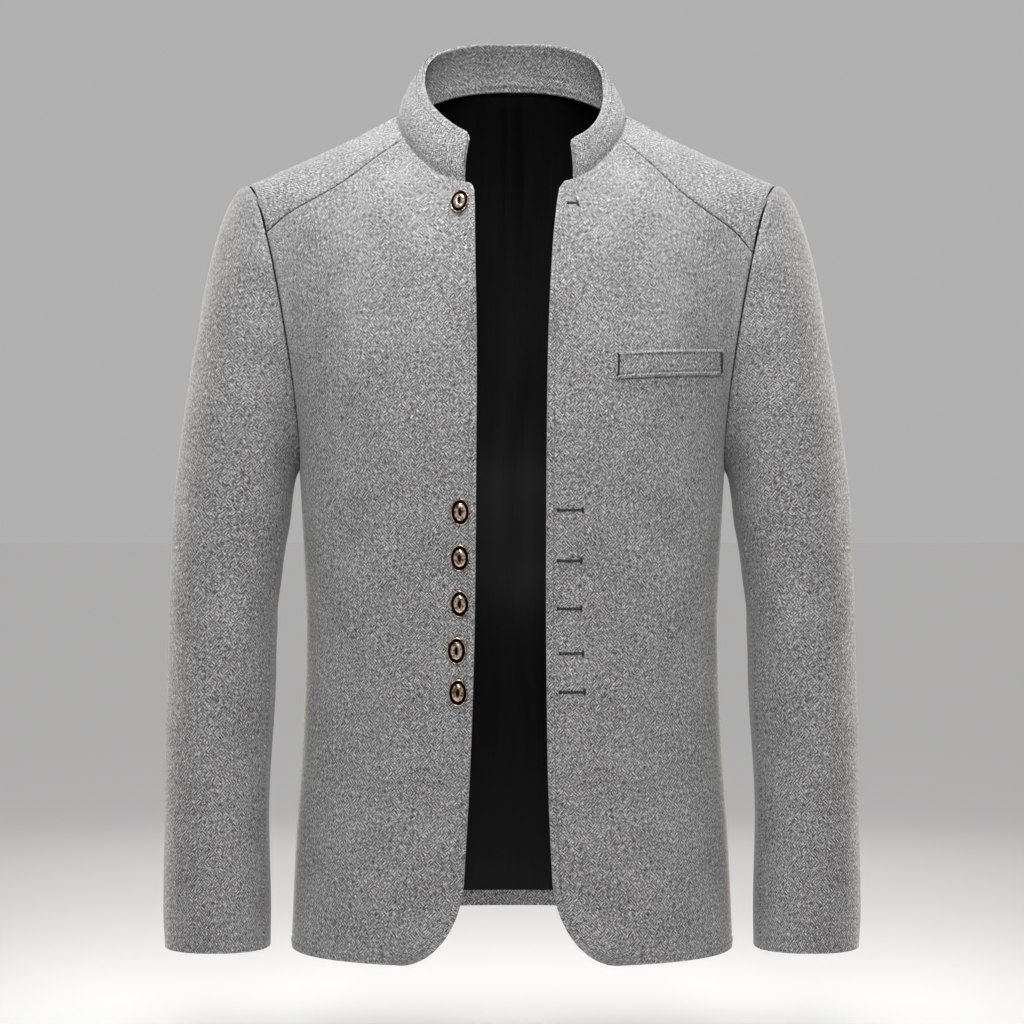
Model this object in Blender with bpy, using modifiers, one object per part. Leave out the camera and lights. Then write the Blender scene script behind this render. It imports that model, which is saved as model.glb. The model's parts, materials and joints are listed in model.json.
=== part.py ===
# Wool jacket with a stand collar, open at the front and filled out as if worn.
# Lengths are in millimetres and become metres in the meshes.
# +X is the wearer's left, -Y the front, +Z up; the origin is between the neck points.
import math
from functools import lru_cache

import bpy
from mathutils import Matrix, Vector

MM = 0.001
COLLECTION = "wool_jacket"
LEFT = 1.0
RIGHT = -1.0
FRONT = -1.0
BACK = 1.0
SIDE_NAMES = {LEFT: "left", RIGHT: "right"}

# Cloth thicknesses and clearances
SHELL = 2.2
FRONT_SHELL = 2.8
COLLAR_SHELL = 4.0
WELT_SHELL = 1.8
LINING_SHELL = 1.0
SEAM_GAP = 0.3
LINING_AIR = 2.0

# Neckline, as seen from above, and the height of the underarm
NECK_HALF_WIDTH = 96.0
NECK_POWER = 2.1
NECK_CENTRE_Y = 22.0
NECK_REACH = {FRONT: 110.0, BACK: 53.0}
NECK_SHARE = 0.42
CHEST_Z = -300.0

# Shoulder line, run on over the neck hole to the centre
# share from centre to shoulder point, x, y, z; the first row lies across the centre line
SHOULDER_LINE = (
    (-0.21, -48.0, 36.0, 16.0),
    (0.00, 0.0, 38.0, 19.0),
    (0.21, 48.0, 36.0, 16.0),
    (0.42, 96.0, 21.5, -1.0),
    (0.60, 134.0, 17.5, -20.0),
    (0.80, 179.0, 12.7, -41.0),
    (1.00, 223.0, 8.0, -62.0),
)

# Sections of the body below the underarm
# z, half width, front depth, back depth
BODY_SECTIONS = (
    (-300.0, 177.5, 128.0, 127.0),
    (-370.0, 174.0, 125.0, 119.0),
    (-430.0, 172.0, 122.0, 113.0),
    (-520.0, 175.0, 121.0, 114.0),
    (-600.0, 180.0, 123.0, 119.0),
    (-700.0, 184.5, 126.0, 124.0),
)
BODY_POWER = 2.4
HEM_Z = {FRONT: -698.0, BACK: -682.0}
HEM_SIDE_Z = -697.0

# How the cloth leaves the neck or shoulder line and arrives at the chest line
# share from centre to armhole, leave x, leave y, leave z, arrive x, arrive y, arrive z;
# the first row lies across the centre line
FLOW = {
    FRONT: (
        (-0.27, -50.0, -470.0, -195.0, 0.0, 0.0, -250.0),
        (0.00, 0.0, -560.0, -150.0, 0.0, 0.0, -240.0),
        (0.27, 50.0, -470.0, -195.0, 0.0, 0.0, -250.0),
        (0.42, 80.0, -350.0, -170.0, 0.0, 0.0, -260.0),
        (0.52, 50.0, -330.0, -130.0, 0.0, 0.0, -255.0),
        (0.70, 0.0, -310.0, -60.0, 0.0, 10.0, -240.0),
        (0.86, -25.0, -285.0, -5.0, 10.0, 70.0, -190.0),
        (1.00, -60.0, -262.0, 28.0, 30.0, 210.0, -70.0),
    ),
    BACK: (
        (-0.27, -50.0, 260.0, 190.0, 0.0, -20.0, -260.0),
        (0.00, 0.0, 262.0, 265.0, 0.0, -20.0, -260.0),
        (0.27, 50.0, 260.0, 190.0, 0.0, -20.0, -260.0),
        (0.42, 70.0, 280.0, 87.0, 0.0, -15.0, -260.0),
        (0.52, 40.0, 275.0, 70.0, 0.0, -15.0, -255.0),
        (0.70, 0.0, 275.0, 53.0, 0.0, -20.0, -240.0),
        (0.86, -20.0, 272.0, 25.0, 10.0, -80.0, -190.0),
        (1.00, -45.0, 265.0, 21.0, 25.0, -220.0, -70.0),
    ),
}

# Front edges, measured out from the centre line
# z, right front, left front
FRONT_EDGES = (
    (-60.0, 31.5, 41.0),
    (-80.0, 30.3, 37.0),
    (-124.0, 29.5, 32.5),
    (-198.0, 28.0, 28.8),
    (-286.0, 28.3, 27.5),
    (-405.0, 29.3, 27.0),
    (-485.0, 31.2, 27.6),
    (-556.0, 34.0, 28.8),
    (-628.0, 38.0, 32.0),
    (-700.0, 41.0, 36.0),
)
EDGE_COLUMN = {RIGHT: 0, LEFT: 1}
EDGE_LIMIT = 0.8
CORNER_WIDTH = 50.0
CORNER_HEIGHT = 70.0
TOP_CORNER = 5.0

# Shoulder yokes
YOKE_NECK_TURN = 0.77
YOKE_ARMHOLE_T = {RIGHT: 0.30, LEFT: 0.36}
YOKE_SEAM_BEND = 0.85

# Sleeve head, from the top of the armhole through front, underarm and back
# turn, leave x, leave y, leave z, arrive x, arrive y, arrive z
SLEEVE_FLOW = (
    (0.00, 90.0, 0.0, 0.0, 22.0, 0.0, -283.0),
    (0.25, 62.0, -45.0, -20.0, 8.0, 2.0, -170.0),
    (0.50, 22.0, 0.0, -25.0, 6.0, 0.0, -45.0),
    (0.75, 62.0, 30.0, -20.0, 8.0, -30.0, -170.0),
    (1.00, 90.0, 0.0, 0.0, 22.0, 0.0, -283.0),
)
# z, centre x, centre y, half width, half depth
SLEEVE_SECTIONS = (
    (-345.0, 235.5, -1.0, 48.5, 68.0),
    (-409.0, 240.7, -6.0, 45.3, 63.0),
    (-493.0, 242.5, -14.0, 44.5, 56.5),
    (-577.0, 245.2, -21.0, 43.2, 52.0),
    (-661.0, 244.8, -25.0, 44.2, 49.0),
    (-695.0, 244.2, -26.0, 43.4, 48.0),
)
SLEEVE_POWER = 2.2
SLEEVE_OUTSET = 0.5
FRONT_SLEEVE_SEAM = 0.86
BACK_SLEEVE_SEAM = 0.66

# Collar band
# turn round the neck from front to back, height, lean inwards
COLLAR_RISE = {
    RIGHT: (
        (0.00, 36.0, 9.0),
        (0.15, 41.0, 13.0),
        (0.22, 43.0, 15.0),
        (0.35, 40.0, 17.0),
        (0.50, 37.5, 19.0),
        (0.60, 42.0, 17.0),
        (0.68, 43.0, 14.0),
        (0.78, 39.5, 10.0),
        (1.00, 35.5, 5.0),
    ),
    LEFT: (
        (0.00, 32.0, 6.0),
        (0.20, 31.5, 6.0),
        (0.30, 29.0, 10.0),
        (0.40, 28.0, 14.0),
        (0.50, 30.5, 16.0),
        (0.60, 38.0, 14.0),
        (0.68, 40.5, 12.0),
        (0.78, 38.5, 9.0),
        (1.00, 35.5, 5.0),
    ),
}
COLLAR_END = {RIGHT: 41.0, LEFT: 53.0}
COLLAR_TOP_CORNER = 4.0
COLLAR_LIFT = 0.5

# Breast pocket welt, its four corners as seen from the front
# x, z
WELT_TOP = ((83.3, -207.0), (171.0, -201.5))
WELT_BOTTOM = ((82.0, -229.0), (171.0, -223.0))

# Buttons, as seen from the front
# x, z
BUTTON_SPOTS = (
    (-42.0, -84.8),
    (-41.0, -335.0),
    (-41.5, -371.7),
    (-41.5, -408.3),
    (-44.0, -445.8),
    (-43.0, -479.3),
)
BUTTON_HALF_WIDTH = 7.6
BUTTON_HALF_HEIGHT = 10.8
# share of the half size, height above the back face
BUTTON_PROFILE = (
    (0.00, 0.0),
    (0.60, 0.0),
    (1.00, 0.9),
    (0.98, 1.9),
    (0.90, 2.2),
    (0.80, 1.6),
    (0.66, 2.5),
    (0.36, 3.6),
    (0.00, 4.0),
)
BUTTON_STEPS = 18
BUTTON_MERGE = 1e-6

# Lining edges
LINING_HEM = 14.0
LINING_TACK = 25.0
LINING_TOP_T = 0.03
LINING_ARMHOLE_SHARE = 0.94
LINING_WIDENING = (0.75, 1.12)

# Grid divisions
EDGE_COLUMNS = 5
EDGE_CROWDING = 1.5
YOKE_COLUMNS = 9
YOKE_ROWS = 4
FRONT_ROWS = 9
BACK_ROWS = 12
NECK_COLUMNS = 5
RIDGE_COLUMNS = 8
CAP_ROWS = 9
ARM_ROWS = 11
COLLAR_COLUMNS = 18
COLLAR_ROWS = 3
WELT_COLUMNS = 8
WELT_ROWS = 2
BODY_STEPS = (0.12, 0.24, 0.36, 0.48, 0.60, 0.71, 0.80, 0.87, 0.92, 0.955, 0.98, 0.993, 1.0)
SOLVE_STEPS = 26
NUDGE = 0.002
SHARP_ANGLE = 40.0

# Colours in linear light, roughness, metallic
MATERIALS = {
    "grey_wool": ((0.235, 0.235, 0.230), 0.95, 0.0),
    "black_satin": ((0.010, 0.010, 0.011), 0.40, 0.0),
    "aged_copper": ((0.48, 0.27, 0.15), 0.35, 1.0),
}


def mix(start, end, share):
    return start + (end - start) * share


def shares(count):
    return [step / count for step in range(count + 1)]


def hermite(start, end, leave, arrive, t):
    square = t * t
    cube = square * t
    return (
        start * (2.0 * cube - 3.0 * square + 1.0)
        + leave * (cube - 2.0 * square + t)
        + end * (3.0 * square - 2.0 * cube)
        + arrive * (cube - square)
    )


def slope(table, row, column):
    below = max(row - 1, 0)
    above = min(row + 1, len(table) - 1)
    return (table[above][column] - table[below][column]) / (table[above][0] - table[below][0])


def read_table(table, at):
    # Smooth curve through the rows of a table; the first column is the place along it.
    rising = table[0][0] < table[-1][0]
    row = 0
    while row < len(table) - 2 and (at > table[row + 1][0]) == rising and at != table[row + 1][0]:
        row += 1
    span = table[row + 1][0] - table[row][0]
    share = min(max((at - table[row][0]) / span, 0.0), 1.0)
    values = []
    for column in range(1, len(table[0])):
        leave = slope(table, row, column) * span
        arrive = slope(table, row + 1, column) * span
        values.append(hermite(table[row][column], table[row + 1][column], leave, arrive, share))
    return values


def oval(angle, half_x, half_y, power):
    cosine = math.cos(angle)
    sine = math.sin(angle)
    x = half_x * math.copysign(abs(cosine) ** (2.0 / power), cosine)
    y = half_y * math.copysign(abs(sine) ** (2.0 / power), sine)
    return x, y


def body_section(u, z, half):
    half_width, front, back = read_table(BODY_SECTIONS, z)
    depth = front if half == FRONT else back
    x, y = oval(math.radians(90.0 * (1.0 - u)), half_width, depth, BODY_POWER)
    return Vector((x, half * y, z))


def hem_height(u, half):
    return mix(HEM_Z[half], HEM_SIDE_Z, u ** 2)


def body(u, t, half):
    # t runs 0 to 1 from the neck or shoulder to the chest line and on to 2 at the hem.
    if t >= 1.0:
        z = mix(CHEST_Z, hem_height(u, half), t - 1.0)
        return body_section(u, z, half)
    flow = read_table(FLOW[half], u)
    leave = Vector(flow[0:3])
    arrive = Vector(flow[3:6])
    start = Vector(read_table(SHOULDER_LINE, u))
    return hermite(start, body_section(u, CHEST_Z, half), leave, arrive, t)


def sided(point, side):
    return Vector((point.x * side, point.y, point.z))


def body_spot(u, t, half, side):
    # A point of the body surface and the outward direction there.
    across = body(min(u + NUDGE, 1.0), t, half) - body(max(u - NUDGE, 0.0), t, half)
    down = body(u, min(t + NUDGE, 2.0), half) - body(u, max(t - NUDGE, 0.0), half)
    normal = across.cross(down).normalized() * half
    return sided(body(u, t, half), side), sided(normal, side)


def seek(low, high, is_below):
    # Halves the span again and again towards the place where is_below turns false.
    for _ in range(SOLVE_STEPS):
        middle = 0.5 * (low + high)
        if is_below(middle):
            low = middle
        else:
            high = middle
    return high


def edge_offset(z, side):
    x = read_table(FRONT_EDGES, z)[EDGE_COLUMN[side]]
    into_corner = (HEM_Z[FRONT] + CORNER_HEIGHT - z) / CORNER_HEIGHT
    into_corner = min(max(into_corner, 0.0), 1.0)
    return x + CORNER_WIDTH * (1.0 - math.sqrt(1.0 - into_corner ** 2))


def front_share(t, side):
    # Share of the way round at which the front edge lies.
    def inside(u):
        point = body(u, t, FRONT)
        return point.x < edge_offset(point.z, side)

    return seek(0.0, EDGE_LIMIT, inside)


def seek_body(x, half, low_t, high_t, is_above):
    # Place on the surface with the given x where is_above turns false.
    def share_at(t):
        return seek(0.0, 1.0, lambda u: body(u, t, half).x < x)

    t = seek(low_t, high_t, lambda place: is_above(body(share_at(place), place, half)))
    return share_at(t), t


def seen_from_front(x, z):
    # Place on the front surface that shows at x and z in a straight front view.
    return seek_body(x, FRONT, 0.0, 2.0, lambda point: point.z > z)


@lru_cache(maxsize=None)
def neck_place(turn, half):
    # Place on the neckline; turn 0 is the centre front or back, 1 the neck point.
    if turn >= 1.0:
        return NECK_SHARE, 0.0
    angle = math.radians(90.0 * (1.0 - turn))
    x = NECK_HALF_WIDTH * math.cos(angle) ** (2.0 / NECK_POWER)
    reach = NECK_REACH[half] * math.sin(angle) ** (2.0 / NECK_POWER)
    return seek_body(x, half, 0.0, 1.0, lambda point: half * (point.y - NECK_CENTRE_Y) < reach)


def neckline(turn, half):
    u, t = neck_place(turn, half)
    return body(u, t, half)


def yoke_place(along, down, side):
    # along runs from neck to armhole, down from the shoulder line to the yoke seam.
    neck_u, neck_t = neck_place(mix(1.0, YOKE_NECK_TURN, down), FRONT)
    u = mix(neck_u, 1.0, along)
    bend = math.sin(math.radians(90.0) * along ** YOKE_SEAM_BEND)
    return u, mix(neck_t, down * YOKE_ARMHOLE_T[side], bend)


def yoke_grid(side):
    return [
        [body_spot(*yoke_place(along, down, side), FRONT, side) for along in shares(YOKE_COLUMNS)]
        for down in shares(YOKE_ROWS)
    ]


def edge_top(side):
    # Turn of the neckline at which the front edge meets it.
    def inside(turn):
        point = neckline(turn, FRONT)
        return point.x < edge_offset(point.z, side)

    return seek(0.0, 1.0, inside)


def front_grid(side):
    first_turn = edge_top(side)
    columns = []
    for step in shares(EDGE_COLUMNS)[:-1]:
        place = step ** EDGE_CROWDING
        top_u, top_t = neck_place(mix(first_turn, YOKE_NECK_TURN, place), FRONT)
        if step == 0.0:
            top_t += TOP_CORNER / abs(CHEST_Z)
        columns.append((top_u, top_t, 1.0 - place))
    for along in shares(YOKE_COLUMNS):
        top_u, top_t = yoke_place(along, 1.0, side)
        columns.append((top_u, top_t, 0.0))
    seam_u = columns[EDGE_COLUMNS][0]
    rows = []
    for step in shares(FRONT_ROWS) + [1.0 + step for step in BODY_STEPS]:
        row = []
        for top_u, top_t, near_edge in columns:
            t = mix(top_t, 1.0, step) if step < 1.0 else step
            edge_u = front_share(t, side)
            u = mix(max(seam_u, edge_u), edge_u, near_edge) if near_edge else top_u
            if 0.0 < near_edge < 1.0 and step < 1.0:
                u = mix(top_u, u, step)
            row.append(body_spot(max(u, edge_u), t, FRONT, side))
        rows.append(row)
    return rows


def back_steps():
    return shares(BACK_ROWS) + [1.0 + step for step in BODY_STEPS]


def back_half(step, t_top, end):
    # One half row of the back, from the centre to the armhole or side seam.
    places = [(*neck_place(turn, BACK), turn * NECK_SHARE) for turn in shares(NECK_COLUMNS)]
    places += [(mix(NECK_SHARE, 1.0, along), 0.0, mix(NECK_SHARE, 1.0, along))
               for along in shares(RIDGE_COLUMNS)[1:]]
    half = []
    for top_u, top_t, low_u in places:
        t = mix(top_t + t_top, 1.0, step) if step < 1.0 else step
        half.append((end * mix(top_u, low_u, min(step, 1.0)), t))
    return half


def back_row(half):
    right = [body_spot(u, t, BACK, RIGHT) for u, t in reversed(half[1:])]
    return right + [body_spot(u, t, BACK, LEFT) for u, t in half]


def back_grid():
    return [back_row(back_half(step, 0.0, 1.0)) for step in back_steps()]


def armhole_turns():
    # Places round the armhole, 0 at the shoulder point, forward and down to 0.5 at the underarm.
    yoke_end = YOKE_ARMHOLE_T[LEFT]
    front = [yoke_end * step for step in shares(YOKE_ROWS)]
    front += [mix(yoke_end, 1.0, step) for step in shares(FRONT_ROWS)[1:]]
    back = [2.0 - step for step in reversed(shares(BACK_ROWS)[1:-1])]
    return [0.5 * place for place in front + back]


def sleeve_section(turn, z):
    centre_x, centre_y, half_width, half_depth = read_table(SLEEVE_SECTIONS, z)
    x, y = oval(2.0 * math.pi * turn, half_width, half_depth, SLEEVE_POWER)
    return Vector((centre_x + x, centre_y - y, z))


def sleeve_point(turn, row):
    # row runs 0 to 1 over the sleeve head and on to 2 at the cuff.
    top_z = SLEEVE_SECTIONS[0][0]
    if row >= 1.0:
        return sleeve_section(turn, mix(top_z, SLEEVE_SECTIONS[-1][0], row - 1.0))
    half = FRONT if turn <= 0.5 else BACK
    place = 2.0 * turn if half == FRONT else 2.0 - 2.0 * turn
    armhole = body(1.0, place, half) + Vector((SLEEVE_OUTSET, 0.0, 0.0))
    flow = read_table(SLEEVE_FLOW, turn)
    leave = Vector(flow[0:3])
    arrive = Vector(flow[3:6])
    return hermite(armhole, sleeve_section(turn, top_z), leave, arrive, row)


def sleeve_spot(turn, row, side):
    around = sleeve_point((turn + NUDGE) % 1.0, row) - sleeve_point((turn - NUDGE) % 1.0, row)
    down = sleeve_point(turn, min(row + NUDGE, 2.0)) - sleeve_point(turn, max(row - NUDGE, 0.0))
    normal = around.cross(down).normalized()
    return sided(sleeve_point(turn, row), side), sided(normal, side)


def sleeve_grids(side):
    turns = armhole_turns()
    front_seam = min(range(len(turns)), key=lambda i: abs(turns[i] - 0.5 * FRONT_SLEEVE_SEAM))
    back_seam = min(range(len(turns)), key=lambda i: abs(turns[i] - 1.0 + 0.5 * BACK_SLEEVE_SEAM))
    steps = shares(CAP_ROWS) + [1.0 + step for step in shares(ARM_ROWS)[1:]]
    top = turns[back_seam:] + turns[: front_seam + 1]
    under = turns[front_seam: back_seam + 1]
    return [
        [[sleeve_spot(turn, step, side) for turn in half] for step in steps]
        for half in (top, under)
    ]


def collar_turns():
    # From the right front end round the back to the left front end.
    ends = {}
    for side in (RIGHT, LEFT):
        cosine = (COLLAR_END[side] / NECK_HALF_WIDTH) ** (0.5 * NECK_POWER)
        ends[side] = 1.0 - math.acos(cosine) / math.radians(90.0)
    right = [mix(ends[RIGHT], 1.0, step) for step in shares(COLLAR_COLUMNS)[:-1]]
    left = [mix(ends[LEFT], 1.0, step) for step in shares(COLLAR_COLUMNS)[:-1]]
    back = shares(COLLAR_COLUMNS)[::2]
    loop = [(turn, FRONT, RIGHT) for turn in right]
    loop += [(turn, BACK, RIGHT) for turn in reversed(back)]
    loop += [(turn, BACK, LEFT) for turn in back[1:]]
    loop += [(turn, FRONT, LEFT) for turn in reversed(left)]
    return loop


def collar_point(turn, half, side, up):
    base = neckline(turn, half)
    place = 0.5 * turn if half == FRONT else 1.0 - 0.5 * turn
    height, lean = read_table(COLLAR_RISE[side], place)
    inward = Vector((-base.x, NECK_CENTRE_Y - base.y, 0.0)).normalized()
    return sided(base + Vector((0.0, 0.0, height * up)) + inward * lean * up * up, side)


def collar_grid():
    loop = collar_turns()
    rows = []
    for step in shares(COLLAR_ROWS):
        row = []
        for column, (turn, half, side) in enumerate(loop):
            height = read_table(COLLAR_RISE[side], 0.5 * turn)[0]
            corner = COLLAR_TOP_CORNER / height if column in (0, len(loop) - 1) else 0.0
            row.append(collar_point(turn, half, side, mix(COLLAR_LIFT / height, 1.0 - corner, step)))
        rows.append(row)
    return with_normals(rows)


def with_normals(grid):
    # Each point of a grid with its normal, from the neighbours of the point.
    last_row = len(grid) - 1
    last_column = len(grid[0]) - 1
    result = []
    for i, row in enumerate(grid):
        line = []
        for j, point in enumerate(row):
            across = row[min(j + 1, last_column)] - row[max(j - 1, 0)]
            up = grid[min(i + 1, last_row)][j] - grid[max(i - 1, 0)][j]
            line.append((point, up.cross(across).normalized()))
        result.append(line)
    return result


def moved(grid, distance):
    return [[(point + normal * distance, normal) for point, normal in row] for row in grid]


def step_towards(start, end, distance):
    return (end[0] - start[0]).normalized() * distance


def drawn_in(grid, distance):
    # The same grid with each outer edge drawn back from the seam it shares.
    result = []
    for i, row in enumerate(grid):
        line = []
        for j, (point, normal) in enumerate(row):
            shift = Vector()
            if i in (0, len(grid) - 1):
                shift += step_towards(row[j], grid[1 if i == 0 else i - 1][j], distance)
            if j in (0, len(row) - 1):
                shift += step_towards(row[j], row[1 if j == 0 else j - 1], distance)
            line.append((point + shift, normal))
        result.append(line)
    return result


def lining_end(t):
    # The lining stays clear of the sleeve seam and widens to the side seam below it.
    widening = min(max((t - LINING_WIDENING[0]) / (LINING_WIDENING[1] - LINING_WIDENING[0]), 0.0), 1.0)
    return mix(LINING_ARMHOLE_SHARE, 1.0, widening)


def lining_back_grid():
    rows = []
    hem_share = 1.0 - LINING_HEM / (CHEST_Z - HEM_Z[BACK])
    for step in shares(BACK_ROWS) + [1.0 + hem_share * step for step in BODY_STEPS]:
        half = back_half(step, LINING_TOP_T, lining_end(step))
        rows.append(back_row(half))
    return rows


def lining_front_grid(side):
    rows = []
    hem_share = 1.0 - LINING_HEM / (CHEST_Z - HEM_Z[FRONT])
    seam_u = neck_place(YOKE_NECK_TURN, FRONT)[0]
    for step in shares(FRONT_ROWS) + [1.0 + hem_share * step for step in BODY_STEPS]:
        t = mix(LINING_TOP_T, 1.0, step) if step < 1.0 else step
        ends = [mix(seam_u, 1.0, along) * lining_end(t) for along in shares(YOKE_COLUMNS)]
        rows.append([body_spot(u, t, FRONT, side) for u in ends])
    return rows


def hung_inside(grid, shell):
    # The lining's place inside a panel: loose above, down to a seam's gap at its own hem.
    rows = []
    for row in grid:
        above_hem = (row[0][0] - grid[-1][0][0]).length
        air = mix(SEAM_GAP, LINING_AIR, min(above_hem / LINING_TACK, 1.0))
        rows.append([(point - normal * (shell + air), normal) for point, normal in row])
    return rows


def welt_grid():
    rows = []
    for down in shares(WELT_ROWS):
        row = []
        for along in shares(WELT_COLUMNS):
            top = mix(Vector(WELT_TOP[0]), Vector(WELT_TOP[1]), along)
            bottom = mix(Vector(WELT_BOTTOM[0]), Vector(WELT_BOTTOM[1]), along)
            x, z = mix(top, bottom, down)
            u, t = seen_from_front(x, z)
            row.append(body_spot(u, t, FRONT, LEFT))
        rows.append(row)
    return rows


def clear_scene():
    for thing in list(bpy.data.objects):
        bpy.data.objects.remove(thing, do_unlink=True)


def make_materials():
    made = {}
    for name, (colour, roughness, metallic) in MATERIALS.items():
        material = bpy.data.materials.new(name)
        material.use_nodes = True
        shader = material.node_tree.nodes["Principled BSDF"]
        shader.inputs["Base Color"].default_value = (*colour, 1.0)
        shader.inputs["Roughness"].default_value = roughness
        shader.inputs["Metallic"].default_value = metallic
        material.diffuse_color = (*colour, 1.0)
        made[name] = material
    return made


def add_object(name, points, edges, faces, material, collection):
    mesh = bpy.data.meshes.new(name)
    mesh.from_pydata([point * MM for point in points], edges, faces)
    mesh.materials.append(material)
    mesh.shade_smooth()
    mesh.set_sharp_from_angle(angle=math.radians(SHARP_ANGLE))
    thing = bpy.data.objects.new(name, mesh)
    collection.objects.link(thing)
    return thing


def add_cloth(name, grid, thickness, material, collection):
    # A sheet lofted through a grid of points, with its thickness towards the inside.
    height = len(grid)
    width = len(grid[0])
    count = height * width
    points = [point for row in grid for point, normal in row]
    points += [point - normal * thickness for row in grid for point, normal in row]
    faces = []
    for i in range(height - 1):
        for j in range(width - 1):
            a = i * width + j
            b = a + width
            c = b + 1
            d = a + 1
            rise = (points[a] + points[c] - points[b] - points[d]).dot(grid[i][j][1])
            for outer in ((a, b, c), (a, c, d)) if rise > 0.0 else ((a, b, d), (b, c, d)):
                faces.append(outer)
                faces.append(tuple(count + index for index in reversed(outer)))
    rim = list(range(width))
    rim += [i * width + width - 1 for i in range(1, height)]
    rim += [(height - 1) * width + j for j in reversed(range(width - 1))]
    rim += [i * width for i in reversed(range(1, height - 1))]
    for here, after in zip(rim, rim[1:] + rim[:1]):
        faces.append((here, after, count + after, count + here))
    middle = (height // 2) * width + width // 2
    turned = (points[middle + width] - points[middle]).cross(points[middle + 1] - points[middle])
    if turned.dot(points[middle] - points[count + middle]) < 0.0:
        faces = [tuple(reversed(face)) for face in faces]
    return add_object(name, points, [], faces, material, collection)


def add_button(name, spot, material, collection):
    # A turned button stretched to its oval and laid on the front, facing straight out of it.
    x, z = spot
    side = math.copysign(1.0, x)
    u, t = seen_from_front(abs(x), z)
    here, normal = body_spot(u, t, FRONT, side)
    above = sided(body(u, t - NUDGE, FRONT), side)
    across = (above - here).cross(normal).normalized()
    up = normal.cross(across)
    points = [Vector((share, 0.0, height)) for share, height in BUTTON_PROFILE]
    edges = [(i, i + 1) for i in range(len(points) - 1)]
    thing = add_object(name, points, edges, [], material, collection)
    screw = thing.modifiers.new("turned", "SCREW")
    screw.axis = "Z"
    screw.steps = BUTTON_STEPS
    screw.render_steps = BUTTON_STEPS
    screw.use_merge_vertices = True
    screw.merge_threshold = BUTTON_MERGE
    screw.use_normal_calculate = True
    screw.use_smooth_shade = True
    turn = Matrix((across, up, normal)).transposed().to_4x4()
    stretch = Matrix.Diagonal((BUTTON_HALF_WIDTH, BUTTON_HALF_HEIGHT, 1.0, 1.0))
    thing.matrix_world = Matrix.Translation((here + normal * SEAM_GAP) * MM) @ turn @ stretch
    return thing


def build():
    clear_scene()
    collection = bpy.data.collections.new(COLLECTION)
    bpy.context.scene.collection.children.link(collection)
    paint = make_materials()
    wool = paint["grey_wool"]
    satin = paint["black_satin"]
    half_gap = 0.5 * SEAM_GAP
    for side in (RIGHT, LEFT):
        name = SIDE_NAMES[side]
        add_cloth("front_" + name, drawn_in(front_grid(side), half_gap), FRONT_SHELL, wool, collection)
        add_cloth("yoke_" + name, drawn_in(yoke_grid(side), half_gap), FRONT_SHELL, wool, collection)
        top, under = sleeve_grids(side)
        add_cloth("sleeve_top_" + name, drawn_in(top, half_gap), SHELL, wool, collection)
        add_cloth("sleeve_under_" + name, drawn_in(under, half_gap), SHELL, wool, collection)
        lining = hung_inside(drawn_in(lining_front_grid(side), half_gap), FRONT_SHELL)
        add_cloth("lining_front_" + name, lining, LINING_SHELL, satin, collection)
    add_cloth("back", drawn_in(back_grid(), half_gap), SHELL, wool, collection)
    lining = hung_inside(drawn_in(lining_back_grid(), half_gap), SHELL)
    add_cloth("lining_back", lining, LINING_SHELL, satin, collection)
    add_cloth("collar", collar_grid(), COLLAR_SHELL, wool, collection)
    welt = moved(drawn_in(welt_grid(), half_gap), SEAM_GAP + WELT_SHELL)
    add_cloth("welt_pocket", welt, WELT_SHELL, wool, collection)
    for number, spot in enumerate(BUTTON_SPOTS, start=1):
        add_button("button_" + str(number), spot, paint["aged_copper"], collection)


build()
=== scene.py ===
import json
import math

import bpy
import numpy as np
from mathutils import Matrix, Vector
from mathutils.bvhtree import BVHTree

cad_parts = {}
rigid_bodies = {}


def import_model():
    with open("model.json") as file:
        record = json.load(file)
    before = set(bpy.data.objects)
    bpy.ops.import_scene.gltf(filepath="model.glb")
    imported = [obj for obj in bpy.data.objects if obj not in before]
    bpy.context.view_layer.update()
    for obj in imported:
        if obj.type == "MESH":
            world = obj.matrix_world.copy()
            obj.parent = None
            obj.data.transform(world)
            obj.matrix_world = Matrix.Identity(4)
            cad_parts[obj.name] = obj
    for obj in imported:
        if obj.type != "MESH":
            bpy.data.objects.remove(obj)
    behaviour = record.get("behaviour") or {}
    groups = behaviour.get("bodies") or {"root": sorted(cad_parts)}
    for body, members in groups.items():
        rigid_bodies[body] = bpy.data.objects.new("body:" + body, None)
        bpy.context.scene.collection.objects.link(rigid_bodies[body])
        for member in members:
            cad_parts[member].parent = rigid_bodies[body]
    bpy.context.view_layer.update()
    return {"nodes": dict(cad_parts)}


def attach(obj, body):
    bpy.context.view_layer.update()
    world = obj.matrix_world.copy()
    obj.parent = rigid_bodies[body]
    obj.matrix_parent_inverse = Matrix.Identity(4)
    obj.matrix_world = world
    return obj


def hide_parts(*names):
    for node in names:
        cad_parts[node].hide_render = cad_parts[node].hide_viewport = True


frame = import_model()
print("frame loaded,", len(frame["nodes"]), "solids")

mm = 0.001
left, right = 1.0, -1.0
front, back = -1.0, 1.0
sideName = {left: "left", right: "right"}

# camera level with the waist, straight on to the front
jacket = bpy.data.collections.new("jacket")
bpy.context.scene.collection.children.link(jacket)
cameraSet = {"distance": 2.4, "height": -0.335, "halfWidth": 0.43, "sensor": 36.0}
camera = bpy.data.objects.new("camera", bpy.data.cameras.new("camera"))
bpy.context.scene.collection.objects.link(camera)
camera.location = (0.0, -cameraSet["distance"], cameraSet["height"])
camera.rotation_euler = (math.radians(90.0), 0.0, 0.0)
camera.data.sensor_width = cameraSet["sensor"]
camera.data.lens = 0.5 * cameraSet["sensor"] * cameraSet["distance"] / cameraSet["halfWidth"]
bpy.context.scene.camera = camera
bpy.context.scene.view_settings.view_transform = "Standard"


# materials

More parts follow.
